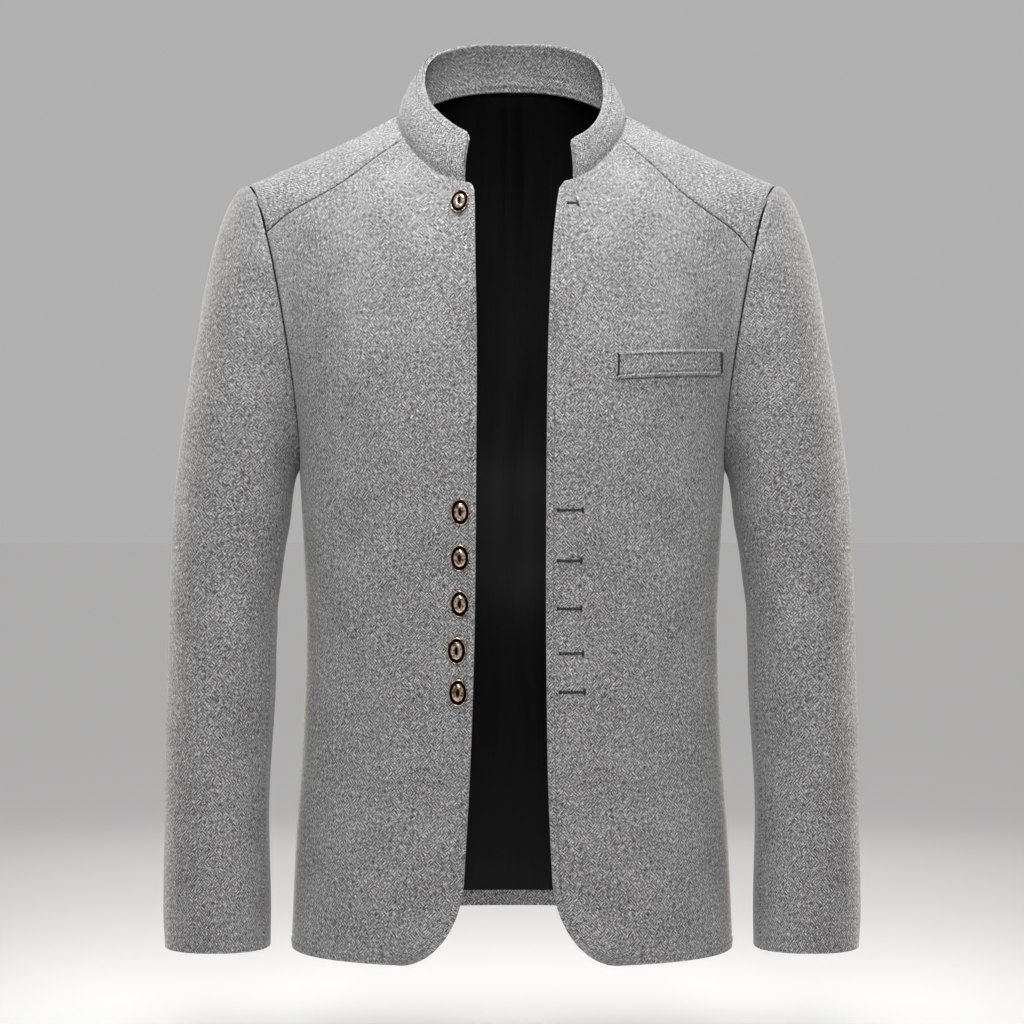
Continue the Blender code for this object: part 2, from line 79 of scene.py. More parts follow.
def linear(hexColour):
    channels = [int(hexColour[i:i + 2], 16) / 255.0 for i in (1, 3, 5)]
    return tuple(c / 12.92 if c <= 0.04045 else ((c + 0.055) / 1.055) ** 2.4 for c in channels) + (1.0,)


def addNode(tree, kind, links=None, **settings):
    # links maps an input socket to another node's output or to a plain value
    node = tree.nodes.new(kind)
    for key, value in settings.items():
        setattr(node, key, value)
    for socket, value in (links or {}).items():
        if isinstance(value, bpy.types.NodeSocket):
            tree.links.new(value, node.inputs[socket])
        else:
            node.inputs[socket].default_value = value
    return node


def newMaterial(name, **sockets):
    material = bpy.data.materials.new(name)
    material.use_nodes = True
    shader = material.node_tree.nodes["Principled BSDF"]
    for socket, value in sockets.items():
        shader.inputs[socket.replace("_", " ")].default_value = value
    return material, material.node_tree, shader


def setRamp(ramp, stops):
    elements = ramp.color_ramp.elements
    while len(elements) < len(stops):
        elements.new(1.0)
    for element, (place, colour) in zip(elements, stops):
        element.position = place
        element.color = colour


woolSet = {
    "dark": "#2c2c2c", "mid": "#7b7b7b", "light": "#d8d8d7",
    "strokeMm": (0.72, 3.8), "twillMm": 2.0, "patchMm": 4.5, "fleckMm": 0.7, "cloudMm": 45.0, "bumpMm": 0.35,
    "slant": 42.0, "ribShare": 0.38, "fleckShare": 0.25, "cloudShare": 0.04, "stops": (0.415, 0.50, 0.585),
}


def woolMelange():
    # Brushed melange wool: dark and light fibres spun together, woven in a small broken twill and raised,
    # which gives short slanting strokes of light and dark and a soft glow where the nap catches the light.
    # The strokes are drawn about twice their real size so that they show.
    material, tree, shader = newMaterial("grey_wool_melange", Roughness=0.92, IOR=1.54)
    shader.inputs["Sheen Weight"].default_value = 0.30
    shader.inputs["Sheen Roughness"].default_value = 0.45
    shader.inputs["Sheen Tint"].default_value = linear("#f4f4f3")
    grain = addNode(tree, "ShaderNodeAttribute", attribute_name="grain").outputs["Vector"]
    width, length = woolSet["strokeMm"]
    strokes = []
    for turn in (woolSet["slant"], -woolSet["slant"]):
        place = addNode(tree, "ShaderNodeMapping", {"Vector": grain, "Rotation": (0.0, 0.0, math.radians(turn)),
                                                    "Scale": (width, length, 1.0)}, vector_type="TEXTURE")
        broken = addNode(tree, "ShaderNodeTexNoise", {"Vector": place.outputs[0], "Scale": 1.0, "Detail": 1.0,
                                                      "Roughness": 0.5})
        # one band of the wave texture is pi / 10 wide at a scale of 1
        rib = addNode(tree, "ShaderNodeTexWave", {"Vector": place.outputs[0], "Distortion": 1.8, "Detail": 1.0,
                                                  "Scale": 0.1 * math.pi * width / woolSet["twillMm"]})
        ribbed = addNode(tree, "ShaderNodeMapRange", {"Value": rib.outputs["Fac"], "To Min": 0.38, "To Max": 0.62})
        strokes.append(addNode(tree, "ShaderNodeMix", {"Factor": woolSet["ribShare"], "A": broken.outputs["Fac"],
                                                       "B": ribbed.outputs[0]}).outputs[0])
    cells = {}
    for key in ("patchMm", "fleckMm", "cloudMm"):
        size = woolSet[key]
        place = addNode(tree, "ShaderNodeMapping", {"Vector": grain, "Scale": (size, size, 1.0)},
                        vector_type="TEXTURE")
        cells[key] = addNode(tree, "ShaderNodeTexNoise", {"Vector": place.outputs[0], "Scale": 1.0, "Detail": 1.0,
                                                          "Roughness": 0.5}).outputs["Fac"]
    choose = addNode(tree, "ShaderNodeMapRange", {"Value": cells["patchMm"], "From Min": 0.40, "From Max": 0.60})
    twill = addNode(tree, "ShaderNodeMix", {"Factor": choose.outputs[0], "A": strokes[0], "B": strokes[1]})
    mottle = addNode(tree, "ShaderNodeMix", {"Factor": woolSet["fleckShare"], "A": twill.outputs[0],
                                              "B": cells["fleckMm"]})
    tone = addNode(tree, "ShaderNodeMix", {"Factor": woolSet["cloudShare"], "A": mottle.outputs[0],
                                            "B": cells["cloudMm"]})
    ramp = addNode(tree, "ShaderNodeValToRGB", {"Fac": tone.outputs[0]})
    setRamp(ramp, [(stop, linear(woolSet[key])) for stop, key in zip(woolSet["stops"], ("dark", "mid", "light"))])
    tree.links.new(ramp.outputs["Color"], shader.inputs["Base Color"])
    bump = addNode(tree, "ShaderNodeBump", {"Height": mottle.outputs[0], "Strength": 0.8,
                                            "Distance": woolSet["bumpMm"] * mm})
    tree.links.new(bump.outputs[0], shader.inputs["Normal"])
    return material


satinSet = {"warp": "#060606", "weft": "#0c0c0d", "threadMm": 0.7, "slubMm": (1.5, 60.0)}


def liningSatin():
    # Black viscose satin: long smooth floats of thread lie along the warp, so it is dark with a soft streaky gloss.
    # Threads are drawn at three times their real spacing so that they show.
    material, tree, shader = newMaterial("black_satin_lining", Roughness=0.42, IOR=1.5)
    shader.inputs["Specular IOR Level"].default_value = 0.15
    grain = addNode(tree, "ShaderNodeAttribute", attribute_name="grain").outputs["Vector"]
    slub = addNode(tree, "ShaderNodeMapping", {"Vector": grain, "Scale": (*satinSet["slubMm"], 1.0)},
                   vector_type="TEXTURE")
    streak = addNode(tree, "ShaderNodeTexNoise", {"Vector": slub.outputs[0], "Scale": 1.0, "Detail": 2.0})
    ramp = addNode(tree, "ShaderNodeValToRGB", {"Fac": streak.outputs["Fac"]})
    setRamp(ramp, ((0.35, linear(satinSet["warp"])), (0.65, linear(satinSet["weft"]))))
    tree.links.new(ramp.outputs["Color"], shader.inputs["Base Color"])
    gloss = addNode(tree, "ShaderNodeMapRange", {"Value": streak.outputs["Fac"], "To Min": 0.36, "To Max": 0.50})
    tree.links.new(gloss.outputs[0], shader.inputs["Roughness"])
    thread = satinSet["threadMm"]
    place = addNode(tree, "ShaderNodeMapping", {"Vector": grain, "Scale": (thread, 5.0 * thread, 1.0)},
                    vector_type="TEXTURE")
    floats = addNode(tree, "ShaderNodeTexNoise", {"Vector": place.outputs[0], "Scale": 1.0, "Detail": 0.0})
    bump = addNode(tree, "ShaderNodeBump", {"Height": floats.outputs["Fac"], "Strength": 0.25, "Distance": 0.1 * mm})
    tree.links.new(bump.outputs[0], shader.inputs["Normal"])
    return material


copperSet = {"bright": "#f4dfcd", "worn": "#7d543e", "patina": "#130b07", "wearAndReflectionSpotMm": 2.4}


def agedCopper():
    # Copper plated die-cast zinc, polished on the raised parts and chemically darkened in the hollows; its dark spots
    # are partly wear and partly painted reflection, and the dark middle of the dome is painted reflection.
    material, tree, shader = newMaterial("aged_copper_plate", Metallic=1.0, Roughness=0.25)
    # darkness per point: patina in the groove, painted reflection in the middle of the dome
    depth = addNode(tree, "ShaderNodeAttribute", attribute_name="patina").outputs["Fac"]
    coords = addNode(tree, "ShaderNodeTexCoord").outputs["Object"]
    # dark spots over the metal: partly wear, partly painted reflection standing in for the dark parts of reflections
    spots = addNode(tree, "ShaderNodeTexNoise", {"Vector": coords, "Scale": 1.0 / (copperSet["wearAndReflectionSpotMm"] * mm),
                                                 "Detail": 3.0})
    wearAndPaintedReflection = addNode(tree, "ShaderNodeValToRGB", {"Fac": spots.outputs["Fac"]})
    setRamp(wearAndPaintedReflection, ((0.40, linear(copperSet["worn"])), (0.58, linear(copperSet["bright"]))))
    edge = addNode(tree, "ShaderNodeMath", {0: depth, 1: spots.outputs["Fac"]}, operation="ADD")
    dark = addNode(tree, "ShaderNodeMapRange", {"Value": edge.outputs[0], "From Min": 0.75, "From Max": 1.15})
    colour = addNode(tree, "ShaderNodeMix", {"Factor": dark.outputs[0], "A": wearAndPaintedReflection.outputs["Color"],
                                             "B": linear(copperSet["patina"])}, data_type="RGBA")
    tree.links.new(colour.outputs["Result"], shader.inputs["Base Color"])
    gloss = addNode(tree, "ShaderNodeMapRange", {"Value": dark.outputs[0], "To Min": 0.22, "To Max": 0.55})
    tree.links.new(gloss.outputs[0], shader.inputs["Roughness"])
    return material


def sewingThread(name, light, dark):
    # Spun polyester thread: matt, with the twist of its plies drawn across it.
    material, tree, shader = newMaterial(name, Roughness=0.8, IOR=1.57)
    coords = addNode(tree, "ShaderNodeTexCoord").outputs["Object"]
    twist = addNode(tree, "ShaderNodeTexNoise", {"Vector": coords, "Scale": 1.0 / (0.6 * mm), "Detail": 1.0})
    ramp = addNode(tree, "ShaderNodeValToRGB", {"Fac": twist.outputs["Fac"]})
    setRamp(ramp, ((0.35, linear(dark)), (0.65, linear(light))))
    tree.links.new(ramp.outputs["Color"], shader.inputs["Base Color"])
    return material


wool = woolMelange()
satin = liningSatin()
copper = agedCopper()
stitchThread = sewingThread("grey_sewing_thread", "#7e7f7d", "#4e4f4e")
buttonholeThread = sewingThread("dark_buttonhole_thread", "#333333", "#0e0e0e")
print("materials made")


# the jacket's form, in millimetres, from the same sizes as the solids

form = {
    "chestZ": -300.0, "neckHalfWidth": 96.0, "neckPower": 2.1, "neckCentreY": 22.0, "neckShare": 0.42,
    "neckReach": {front: 110.0, back: 53.0},
    "hemZ": {front: -698.0, back: -682.0}, "hemSideZ": -697.0, "bodyPower": 2.4,
    # share from centre to shoulder point: x, y, z
    "shoulderLine": (
        (-0.21, -48.0, 36.0, 16.0), (0.00, 0.0, 38.0, 19.0), (0.21, 48.0, 36.0, 16.0), (0.42, 96.0, 21.5, -1.0),
        (0.60, 134.0, 17.5, -20.0), (0.80, 179.0, 12.7, -41.0), (1.00, 223.0, 8.0, -62.0),
    ),
    # z: half width, front depth, back depth
    "bodySections": (
        (-300.0, 177.5, 128.0, 127.0), (-370.0, 174.0, 125.0, 119.0), (-430.0, 172.0, 122.0, 113.0),
        (-520.0, 175.0, 121.0, 114.0), (-600.0, 180.0, 123.0, 119.0), (-700.0, 184.5, 126.0, 124.0),
    ),
    # share from centre to armhole: how the cloth leaves the shoulder and arrives at the chest, x, y, z each;
    # the back arrives a little more smoothly than its solid, within 1.5 mm of it
    "flow": {
        front: (
            (-0.27, -50.0, -470.0, -195.0, 0.0, 0.0, -250.0), (0.00, 0.0, -560.0, -150.0, 0.0, 0.0, -240.0),
            (0.27, 50.0, -470.0, -195.0, 0.0, 0.0, -250.0), (0.42, 80.0, -350.0, -170.0, 0.0, 0.0, -260.0),
            (0.52, 50.0, -330.0, -130.0, 0.0, 0.0, -255.0), (0.70, 0.0, -310.0, -60.0, 0.0, 10.0, -240.0),
            (0.86, -25.0, -285.0, -5.0, 10.0, 70.0, -190.0), (1.00, -60.0, -262.0, 28.0, 30.0, 210.0, -70.0),
        ),
        back: (
            (-0.27, -50.0, 260.0, 190.0, 0.0, -27.4, -260.0), (0.00, 0.0, 262.0, 265.0, 0.0, -29.7, -260.0),
            (0.27, 50.0, 260.0, 190.0, 0.0, -27.4, -260.0), (0.42, 70.0, 280.0, 87.0, 0.0, -24.4, -260.0),
            (0.52, 40.0, 275.0, 70.0, 0.0, -21.2, -255.0), (0.70, 0.0, 275.0, 53.0, 0.0, -20.0, -240.0),
            (0.86, -20.0, 272.0, 25.0, 10.0, -80.0, -190.0), (1.00, -45.0, 265.0, 21.0, 25.0, -220.0, -70.0),
        ),
    },
    # z: right front edge, left front edge, out from the centre line
    "frontEdges": (
        (-60.0, 31.5, 41.0), (-80.0, 30.3, 37.0), (-124.0, 29.5, 32.5), (-198.0, 28.0, 28.8), (-286.0, 28.3, 27.5),
        (-405.0, 29.3, 27.0), (-485.0, 31.2, 27.6), (-556.0, 34.0, 28.8), (-628.0, 38.0, 32.0), (-700.0, 41.0, 36.0),
    ),
    "edgeColumn": {right: 0, left: 1}, "cornerWidth": 50.0, "cornerHeight": 70.0, "topCorner": 5.0,
    "yokeNeckTurn": 0.77, "yokeArmhole": {right: 0.30, left: 0.36}, "yokeBend": 0.85,
}


def mix(a, b, share):
    return a + (b - a) * share


def hermite(start, end, leave, arrive, t):
    return (start * (2 * t ** 3 - 3 * t ** 2 + 1) + leave * (t ** 3 - 2 * t ** 2 + t)
            + end * (3 * t ** 2 - 2 * t ** 3) + arrive * (t ** 3 - t ** 2))


def readTable(table, at):
    # smooth curve through the rows; the first column is the place along it
    rows = np.array(sorted(table))
    place, values = rows[:, 0], rows[:, 1:]
    below = np.maximum(np.arange(len(place)) - 1, 0)
    above = np.minimum(np.arange(len(place)) + 1, len(place) - 1)
    slopes = (values[above] - values[below]) / (place[above] - place[below])[:, None]
    at = np.asarray(at, float)
    row = np.clip(np.searchsorted(place, at, side="right") - 1, 0, len(place) - 2)
    span = (place[row + 1] - place[row])[..., None]
    t = np.clip((at - place[row])[..., None] / span, 0.0, 1.0)
    return hermite(values[row], values[row + 1], slopes[row] * span, slopes[row + 1] * span, t)


def oval(angle, halfX, halfY, power):
    c, s = np.cos(angle), np.sin(angle)
    return halfX * np.sign(c) * np.abs(c) ** (2 / power), halfY * np.sign(s) * np.abs(s) ** (2 / power)


def bodySection(u, z, half):
    sizes = readTable(form["bodySections"], z)
    x, y = oval(np.radians(90.0 * (1.0 - u)), sizes[..., 0], sizes[..., 1 if half == front else 2], form["bodyPower"])
    return np.stack((x, half * y, z), -1)


def body(u, t, half):
    # t runs 0 to 1 from shoulder to chest and on to 2 at the hem
    u, t = np.broadcast_arrays(np.asarray(u, float), np.asarray(t, float))
    hem = mix(form["hemZ"][half], form["hemSideZ"], u ** 2)
    low = bodySection(u, mix(form["chestZ"], hem, np.clip(t - 1.0, 0.0, 1.0)), half)
    flow = readTable(form["flow"][half], u)
    chest = bodySection(u, np.full(u.shape, form["chestZ"]), half)
    high = hermite(readTable(form["shoulderLine"], u), chest, flow[..., :3], flow[..., 3:],
                   np.clip(t, 0.0, 1.0)[..., None])
    return np.where((t >= 1.0)[..., None], low, high)


def unit(vectors):
    return vectors / np.maximum(np.linalg.norm(vectors, axis=-1, keepdims=True), 1e-9)


def bodySpot(u, t, half, side):
    # points of the body surface and the outward direction there
    nudge = 0.002
    across = body(np.minimum(u + nudge, 1.0), t, half) - body(np.maximum(u - nudge, 0.0), t, half)
    down = body(u, np.minimum(t + nudge, 2.0), half) - body(u, np.maximum(t - nudge, 0.0), half)
    flip = np.array((side, 1.0, 1.0))
    return body(u, t, half) * flip, unit(np.cross(across, down)) * half * flip


def seek(low, high, isBelow):
    # halves the span again and again towards the place where isBelow turns false
    low, high = np.array(low, float), np.array(high, float)
    for _ in range(26):
        middle = 0.5 * (low + high)
        below = isBelow(middle)
        low, high = np.where(below, middle, low), np.where(below, high, middle)
    return high


def edgeOffset(z, side):
    x = readTable(form["frontEdges"], z)[..., form["edgeColumn"][side]]
    into = np.clip((form["hemZ"][front] + form["cornerHeight"] - z) / form["cornerHeight"], 0.0, 1.0)
    return x + form["cornerWidth"] * (1.0 - np.sqrt(1.0 - into ** 2))


def frontShare(t, side):
    def inside(u):
        point = body(u, t, front)
        return point[..., 0] < edgeOffset(point[..., 2], side)
    return seek(np.zeros_like(t), np.full_like(t, 0.8), inside)


def seekBody(x, half, lowT, highT, isAbove):
    # place on the surface with the given x where isAbove turns false
    x = np.asarray(x, float)

    def shareAt(t):
        return seek(np.zeros_like(x), np.ones_like(x), lambda u: body(u, t, half)[..., 0] < x)

    t = seek(np.full_like(x, lowT), np.full_like(x, highT), lambda place: isAbove(body(shareAt(place), place, half)))
    return shareAt(t), t


def seenFromFront(x, z):
    return seekBody(x, front, 0.0, 2.0, lambda point: point[..., 2] > z)


def neckPlace(turn, half):
    # place on the neckline; turn 0 is the centre front or back, 1 the neck point
    turn = np.asarray(turn, float)
    angle = np.radians(90.0 * (1.0 - np.minimum(turn, 1.0)))
    power = 2.0 / form["neckPower"]
    reach = form["neckReach"][half] * np.sin(angle) ** power
    u, t = seekBody(form["neckHalfWidth"] * np.cos(angle) ** power, half, 0.0, 1.0,
                    lambda point: half * (point[..., 1] - form["neckCentreY"]) < reach)
    end = turn >= 1.0
    return np.where(end, form["neckShare"], u), np.where(end, 0.0, t)


def neckline(turn, half):
    return body(*neckPlace(turn, half), half)


def yokePlace(along, down, side):
    neckU, neckT = neckPlace(mix(1.0, form["yokeNeckTurn"], down), front)
    bend = np.sin(math.radians(90.0) * along ** form["yokeBend"])
    return mix(neckU, 1.0, along), mix(neckT, down * form["yokeArmhole"][side], bend)


def smooth(share):
    share = np.clip(share, 0.0, 1.0)
    return share ** 2 * (3.0 - 2.0 * share)


def crowd(count, first=1.0, last=1.0, reach=0.3):
    # shares from 0 to 1, closer together at either end
    place = (np.arange(count) + 0.5) / count
    weights = mix(first, 1.0, smooth(place / reach)) * mix(last, 1.0, smooth((1.0 - place) / reach))
    return np.concatenate(((0.0,), np.cumsum(weights) / weights.sum()))


# cloth shells

def arcs(points, axis):
    # distance along the rows or columns of a grid from its first and its last line
    steps = np.linalg.norm(np.diff(points, axis=axis), axis=-1)
    fromFirst = np.insert(np.cumsum(steps, axis=axis), 0, 0.0, axis=axis)
    return fromFirst, np.take(fromFirst, [-1], axis=axis) - fromFirst


def rimOf(rows, columns):
    # indices round the outside of a grid
    return np.concatenate((np.arange(columns), np.arange(1, rows) * columns + columns - 1,
                           (rows - 1) * columns + np.arange(columns - 2, -1, -1),
                           np.arange(rows - 2, 0, -1) * columns))


def drawnIn(points, normals, distance, reach=10.0):
    # the same grid drawn back from its outer edge, and the way out at each point of that edge
    rows, columns = points.shape[:2]
    flat, rim = points.reshape(-1, 3), rimOf(rows, columns)
    edge = flat[rim]
    inward = unit(np.cross(normals.reshape(-1, 3)[rim], np.roll(edge, -1, axis=0) - np.roll(edge, 1, axis=0)))
    inward *= np.sign(np.sum(inward * (flat.mean(axis=0) - edge), axis=1).sum())
    nearest, away = np.zeros(len(flat), int), np.zeros(len(flat))
    for chunk in np.array_split(np.arange(len(flat)), 1 + len(flat) // 2000):
        gaps = np.linalg.norm(flat[chunk][:, None] - edge[None], axis=-1)
        nearest[chunk], away[chunk] = gaps.argmin(axis=1), gaps.min(axis=1)
    share = np.clip(1.0 - away / reach, 0.0, 1.0)
    return (flat + inward[nearest] * (distance * share)[:, None]).reshape(points.shape), -inward


def creaseLift(across, down, creases):
    # each crease is a line across and down the cloth, its half width and its rise, which is minus for a trough
    lift = np.zeros(across.shape)
    for a0, d0, a1, d1, width, rise in creases:
        run = np.array((a1 - a0, d1 - d0))
        length = np.hypot(*run)
        share = np.clip(((across - a0) * run[0] + (down - d0) * run[1]) / length ** 2, 0.0, 1.0)
        sway = 0.25 * width * np.sin(7.0 * share + a0)
        distance = np.hypot(across - a0 - run[0] * share + sway, down - d0 - run[1] * share)
        uneven = 0.8 + 0.2 * np.sin(11.0 * share + d0)
        fade = smooth(share / 0.3) * smooth((1.0 - share) / 0.5)
        lift += rise * uneven * fade * np.exp(-(distance / width) ** 2)
    return lift


# how any panel hangs, in millimetres: calm margin along its edges, lengths of its slight waves across and down,
# place and width of a seam's roll, depth and width of a stitched trough
hangSet = {
    "margin": 22.0, "wave": 0.5, "across": (31.0, 140.0), "down": (83.0, 67.0), "bend": 1.3,
    "rollAt": 4.5, "rollWidth": 4.0, "trough": (0.45, 1.5),
    # the cloth between a stitched trough and the edge: share of the trough's depth, place and width by its inset
    "swell": 0.8, "swellAt": 0.45, "swellWidth": 0.35,
}


def dressed(points, normals, cloth):
    # moves a panel's points for its seam rolls, stitched edges, creases and the slight waviness of hung cloth
    fromFirst, fromLast = arcs(points, 1)
    fromTop, fromBottom = arcs(points, 0)
    ways = {"first": fromFirst, "last": fromLast, "top": fromTop, "bottom": fromBottom}
    nearest = np.minimum.reduce(list(ways.values()))
    ease = smooth(nearest / hangSet["margin"])
    across = fromFirst - fromFirst[:, [fromFirst.shape[1] // 2]] if cloth.get("centred") else fromFirst
    lift = creaseLift(across, fromTop, cloth.get("creases", ()))
    across1, across2 = hangSet["across"]
    down1, down2 = hangSet["down"]
    ripple = np.sin(fromFirst / across1 + hangSet["bend"] * np.sin(fromTop / down1))
    lift += cloth.get("wave", hangSet["wave"]) * ripple * np.sin(fromTop / down2 + fromFirst / across2)
    lift *= ease
    for edge, rise in cloth.get("rolls", {}).items():
        lift += rise * np.exp(-((ways[edge] - hangSet["rollAt"]) / hangSet["rollWidth"]) ** 2)
    for edge, inset in cloth.get("stitched", {}).items():
        away = ways[edge]
        deep, wide = cloth.get("trough", hangSet["trough"])
        swellAt, swellWidth = hangSet["swellAt"] * inset, hangSet["swellWidth"] * inset
        lift += hangSet["swell"] * deep * np.exp(-((away - swellAt) / swellWidth) ** 2)
        lift -= deep * np.exp(-((away - inset) / wide) ** 2)
    # the warp runs down the columns and is measured from a level row, so that the weave isn't sheared
    level = cloth.get("levelRow", 0)
    if "weft" in cloth:
        weft = cloth["weft"]
    else:
        weft = -fromLast if cloth.get("weftFrom") == "last" else fromFirst - fromFirst[:, [fromFirst.shape[1] // 2]]
        weft[:level] = weft[level]
    grain = np.stack((weft, fromTop - fromTop[level], np.zeros_like(weft)), -1)
    return points + normals * lift[..., None], grain


def addMesh(name, points, faces, material, collection=jacket, **attributes):
    mesh = bpy.data.meshes.new(name)
    mesh.from_pydata((np.asarray(points) * mm).tolist(), [], faces)
    mesh.materials.append(material)
    mesh.shade_smooth()
    for key, values in attributes.items():
        values = np.asarray(values, float)
        kind = "FLOAT_VECTOR" if values.ndim > 1 else "FLOAT"
        layer = mesh.attributes.new(key, kind, "POINT")
        layer.data.foreach_set("vector" if values.ndim > 1 else "value", values.ravel())
    thing = bpy.data.objects.new(name, mesh)
    collection.objects.link(thing)
    return thing


def lofted(rows, columns, start=0):
    index = start + np.arange(rows * columns).reshape(rows, columns)
    return np.stack((index[:-1, :-1], index[1:, :-1], index[1:, 1:], index[:-1, 1:]), -1).reshape(-1, 4)


def addShell(name, points, normals, cloth, material):
    # a sheet of cloth with rounded edges; its outer face lies on the form and its thickness goes inwards
    thick = cloth["thick"]
    rolled = 0.5 * thick
    bulge = cloth.get("bulge", rolled)
    base, out = drawnIn(points, normals, bulge + 0.5 * cloth.get("gap", 0.3))
    outer, grain = dressed(base, normals, cloth)
    rows, columns = outer.shape[:2]
    inner = outer - normals * thick
    count = rows * columns
    rim = rimOf(rows, columns)
    edge, edgeNormal = outer.reshape(-1, 3)[rim], normals.reshape(-1, 3)[rim]
    turns = np.radians((30.0, 60.0, 90.0, 120.0, 150.0))
    bands = [edge + out * bulge * math.sin(a) - edgeNormal * rolled * (1.0 - math.cos(a)) for a in turns]
    faces = [lofted(rows, columns), lofted(rows, columns, count)[:, ::-1]]
    loops = [rim] + [2 * count + k * len(rim) + np.arange(len(rim)) for k in range(len(bands))] + [rim + count]
    for above, below in zip(loops[:-1], loops[1:]):
        faces.append(np.stack((above, np.roll(above, -1), np.roll(below, -1), below), -1))
    every = np.concatenate(faces)
    middle = (rows // 2) * columns + columns // 2
    flat = outer.reshape(-1, 3)
    facing = np.cross(flat[middle + columns] - flat[middle], flat[middle + 1] - flat[middle])
    if facing @ normals.reshape(-1, 3)[middle] < 0.0:
        every = every[:, ::-1]
    # the weave runs on round the rolled edge
    step = math.pi * rolled / (len(bands) + 1)
    around = [grain.reshape(-1, 3)[rim] + (step * (k + 1), step * (k + 1), 0.0) for k in range(len(bands))]
    wrap = step * (len(bands) + 1)
    allGrain = np.concatenate((grain.reshape(-1, 3), grain.reshape(-1, 3) + (wrap, wrap, 0.0), *around))
    allPoints = np.concatenate((flat, inner.reshape(-1, 3), *bands))
    thing = addMesh(name, allPoints, every.tolist(), material, grain=allGrain)
    return thing, outer, normals


def hang(thing, nodes):
    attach(thing, "root")
    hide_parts(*nodes)


# stitching

stitchSet = {
    "length": 2.5, "gap": 0.9, "radius": 0.32, "inset": 6.5,
    # place along a stitch, thickness, rise out of the cloth
    "rings": ((0.0, 0.5, -0.5), (0.2, 0.95, 0.35), (0.5, 1.0, 0.6), (0.8, 0.95, 0.35), (1.0, 0.5, -0.5)), "sides": 6,
}


def stitchBar(start, end, lift, radius):
    # one stitch: a thread that rises out of the cloth and goes back into it
    along = end - start
    axis = along / max(np.linalg.norm(along), 1e-6)
    aside = unit(np.cross(axis, lift))
    rings = []
    for place, swell, rise in stitchSet["rings"]:
        centre = start + along * place + lift * radius * rise
        for k in range(stitchSet["sides"]):
            a = math.radians(360.0 / stitchSet["sides"] * k)
            rings.append(centre + radius * swell * (aside * math.cos(a) + lift * math.sin(a)))
    return rings


def addBars(name, bars, material):
    points, faces = [], []
    sides, rings = stitchSet["sides"], len(stitchSet["rings"])
    for bar in bars:
        first = len(points)
        points += bar
        for ring in range(rings - 1):
            for k in range(sides):
                a, b = first + ring * sides + k, first + ring * sides + (k + 1) % sides
                faces.append((a, b, b + sides, a + sides))
        faces.append(tuple(first + k for k in reversed(range(sides))))
        faces.append(tuple(first + (rings - 1) * sides + k for k in range(sides)))
    return addMesh(name, points, faces, material)


def surfaceOf(thing):
    mesh = thing.data
    return BVHTree.FromPolygons([v.co / mm for v in mesh.vertices], [p.vertices[:] for p in mesh.polygons])


def seatedOn(tree, points, normals, reach=15.0):
    # the same points moved along their normals on to a piece of cloth
    flat = points.reshape(-1, 3).copy()
    for k, normal in enumerate(normals.reshape(-1, 3)):
        hit = tree.ray_cast(Vector(flat[k] + normal * reach), Vector(-normal), 2.0 * reach)[0]
        if hit is not None:
            flat[k] = hit
    return flat.reshape(points.shape)


def resampled(line, pitch):
    steps = np.insert(np.cumsum(np.linalg.norm(np.diff(line, axis=0), axis=1)), 0, 0.0)
    places = np.arange(0.0, steps[-1], pitch)
    return np.stack([np.interp(places, steps, line[:, k]) for k in range(3)], -1)


def stitchLine(line, tree, size=stitchSet):
    # stitches laid end to end along a line, seated on the cloth
    pitch = size["length"] + size["gap"]
    spots = resampled(line, 0.5 * pitch)
    seated = []
    for spot in spots:
        hit, normal, _, _ = tree.find_nearest(Vector(spot))
        seated.append((np.array(hit), np.array(normal)))
    bars = []
    for (a, normal), (b, _) in zip(seated[:-1:2], seated[1::2]):
        reach = (b - a) * (size["length"] / (0.5 * pitch))
        bars.append(stitchBar(a, a + reach, normal, size["radius"]))
    return bars


def edgeLine(points, normals, inset, turned=1.0):
    # a line of points at a distance inside an edge
    along = np.gradient(points, axis=0)
    return points + unit(np.cross(normals, along)) * inset * turned


# fronts and yokes

frontSet = {
    "thick": 2.8, "edgeColumns": 34, "yokeColumns": 44, "chestRows": 80, "bodyRows": 74, "cornerRows": 26,
    "stitched": {"first": 6.5, "bottom": 6.5}, "rolls": {"top": 0.5, "last": 0.5}, "wave": 0.4,
    "bulge": 0.9, "levelRow": 80, "weftFrom": "last",
    # the shell's edge is already drawn in by this much, and its stitching starts below the collar's end
    "drawn": 1.4, "stitchFromRow": 6,
    "creases": (
        (150.0, 150.0, 118.0, 300.0, 16.0, -1.8),
        (128.0, 120.0, 96.0, 250.0, 20.0, 1.2),
        (178.0, 330.0, 120.0, 400.0, 14.0, -1.2),
        (70.0, 380.0, 150.0, 430.0, 18.0, -0.9),
        (60.0, 500.0, 80.0, 640.0, 22.0, 1.0),
        (140.0, 470.0, 130.0, 640.0, 24.0, -1.2),
    ),
    "flat": (0.265, 0.66), "area": 0.131,
}
yokeSet = {
    "thick": 2.8, "columns": 54, "rows": 26, "rolls": {"top": 0.4, "bottom": 0.5, "last": 0.4, "first": 0.3},
    "wave": 0.2, "bulge": 0.9, "gap": 1.5,
    "flat": (0.16, 0.10), "area": 0.0095,
}


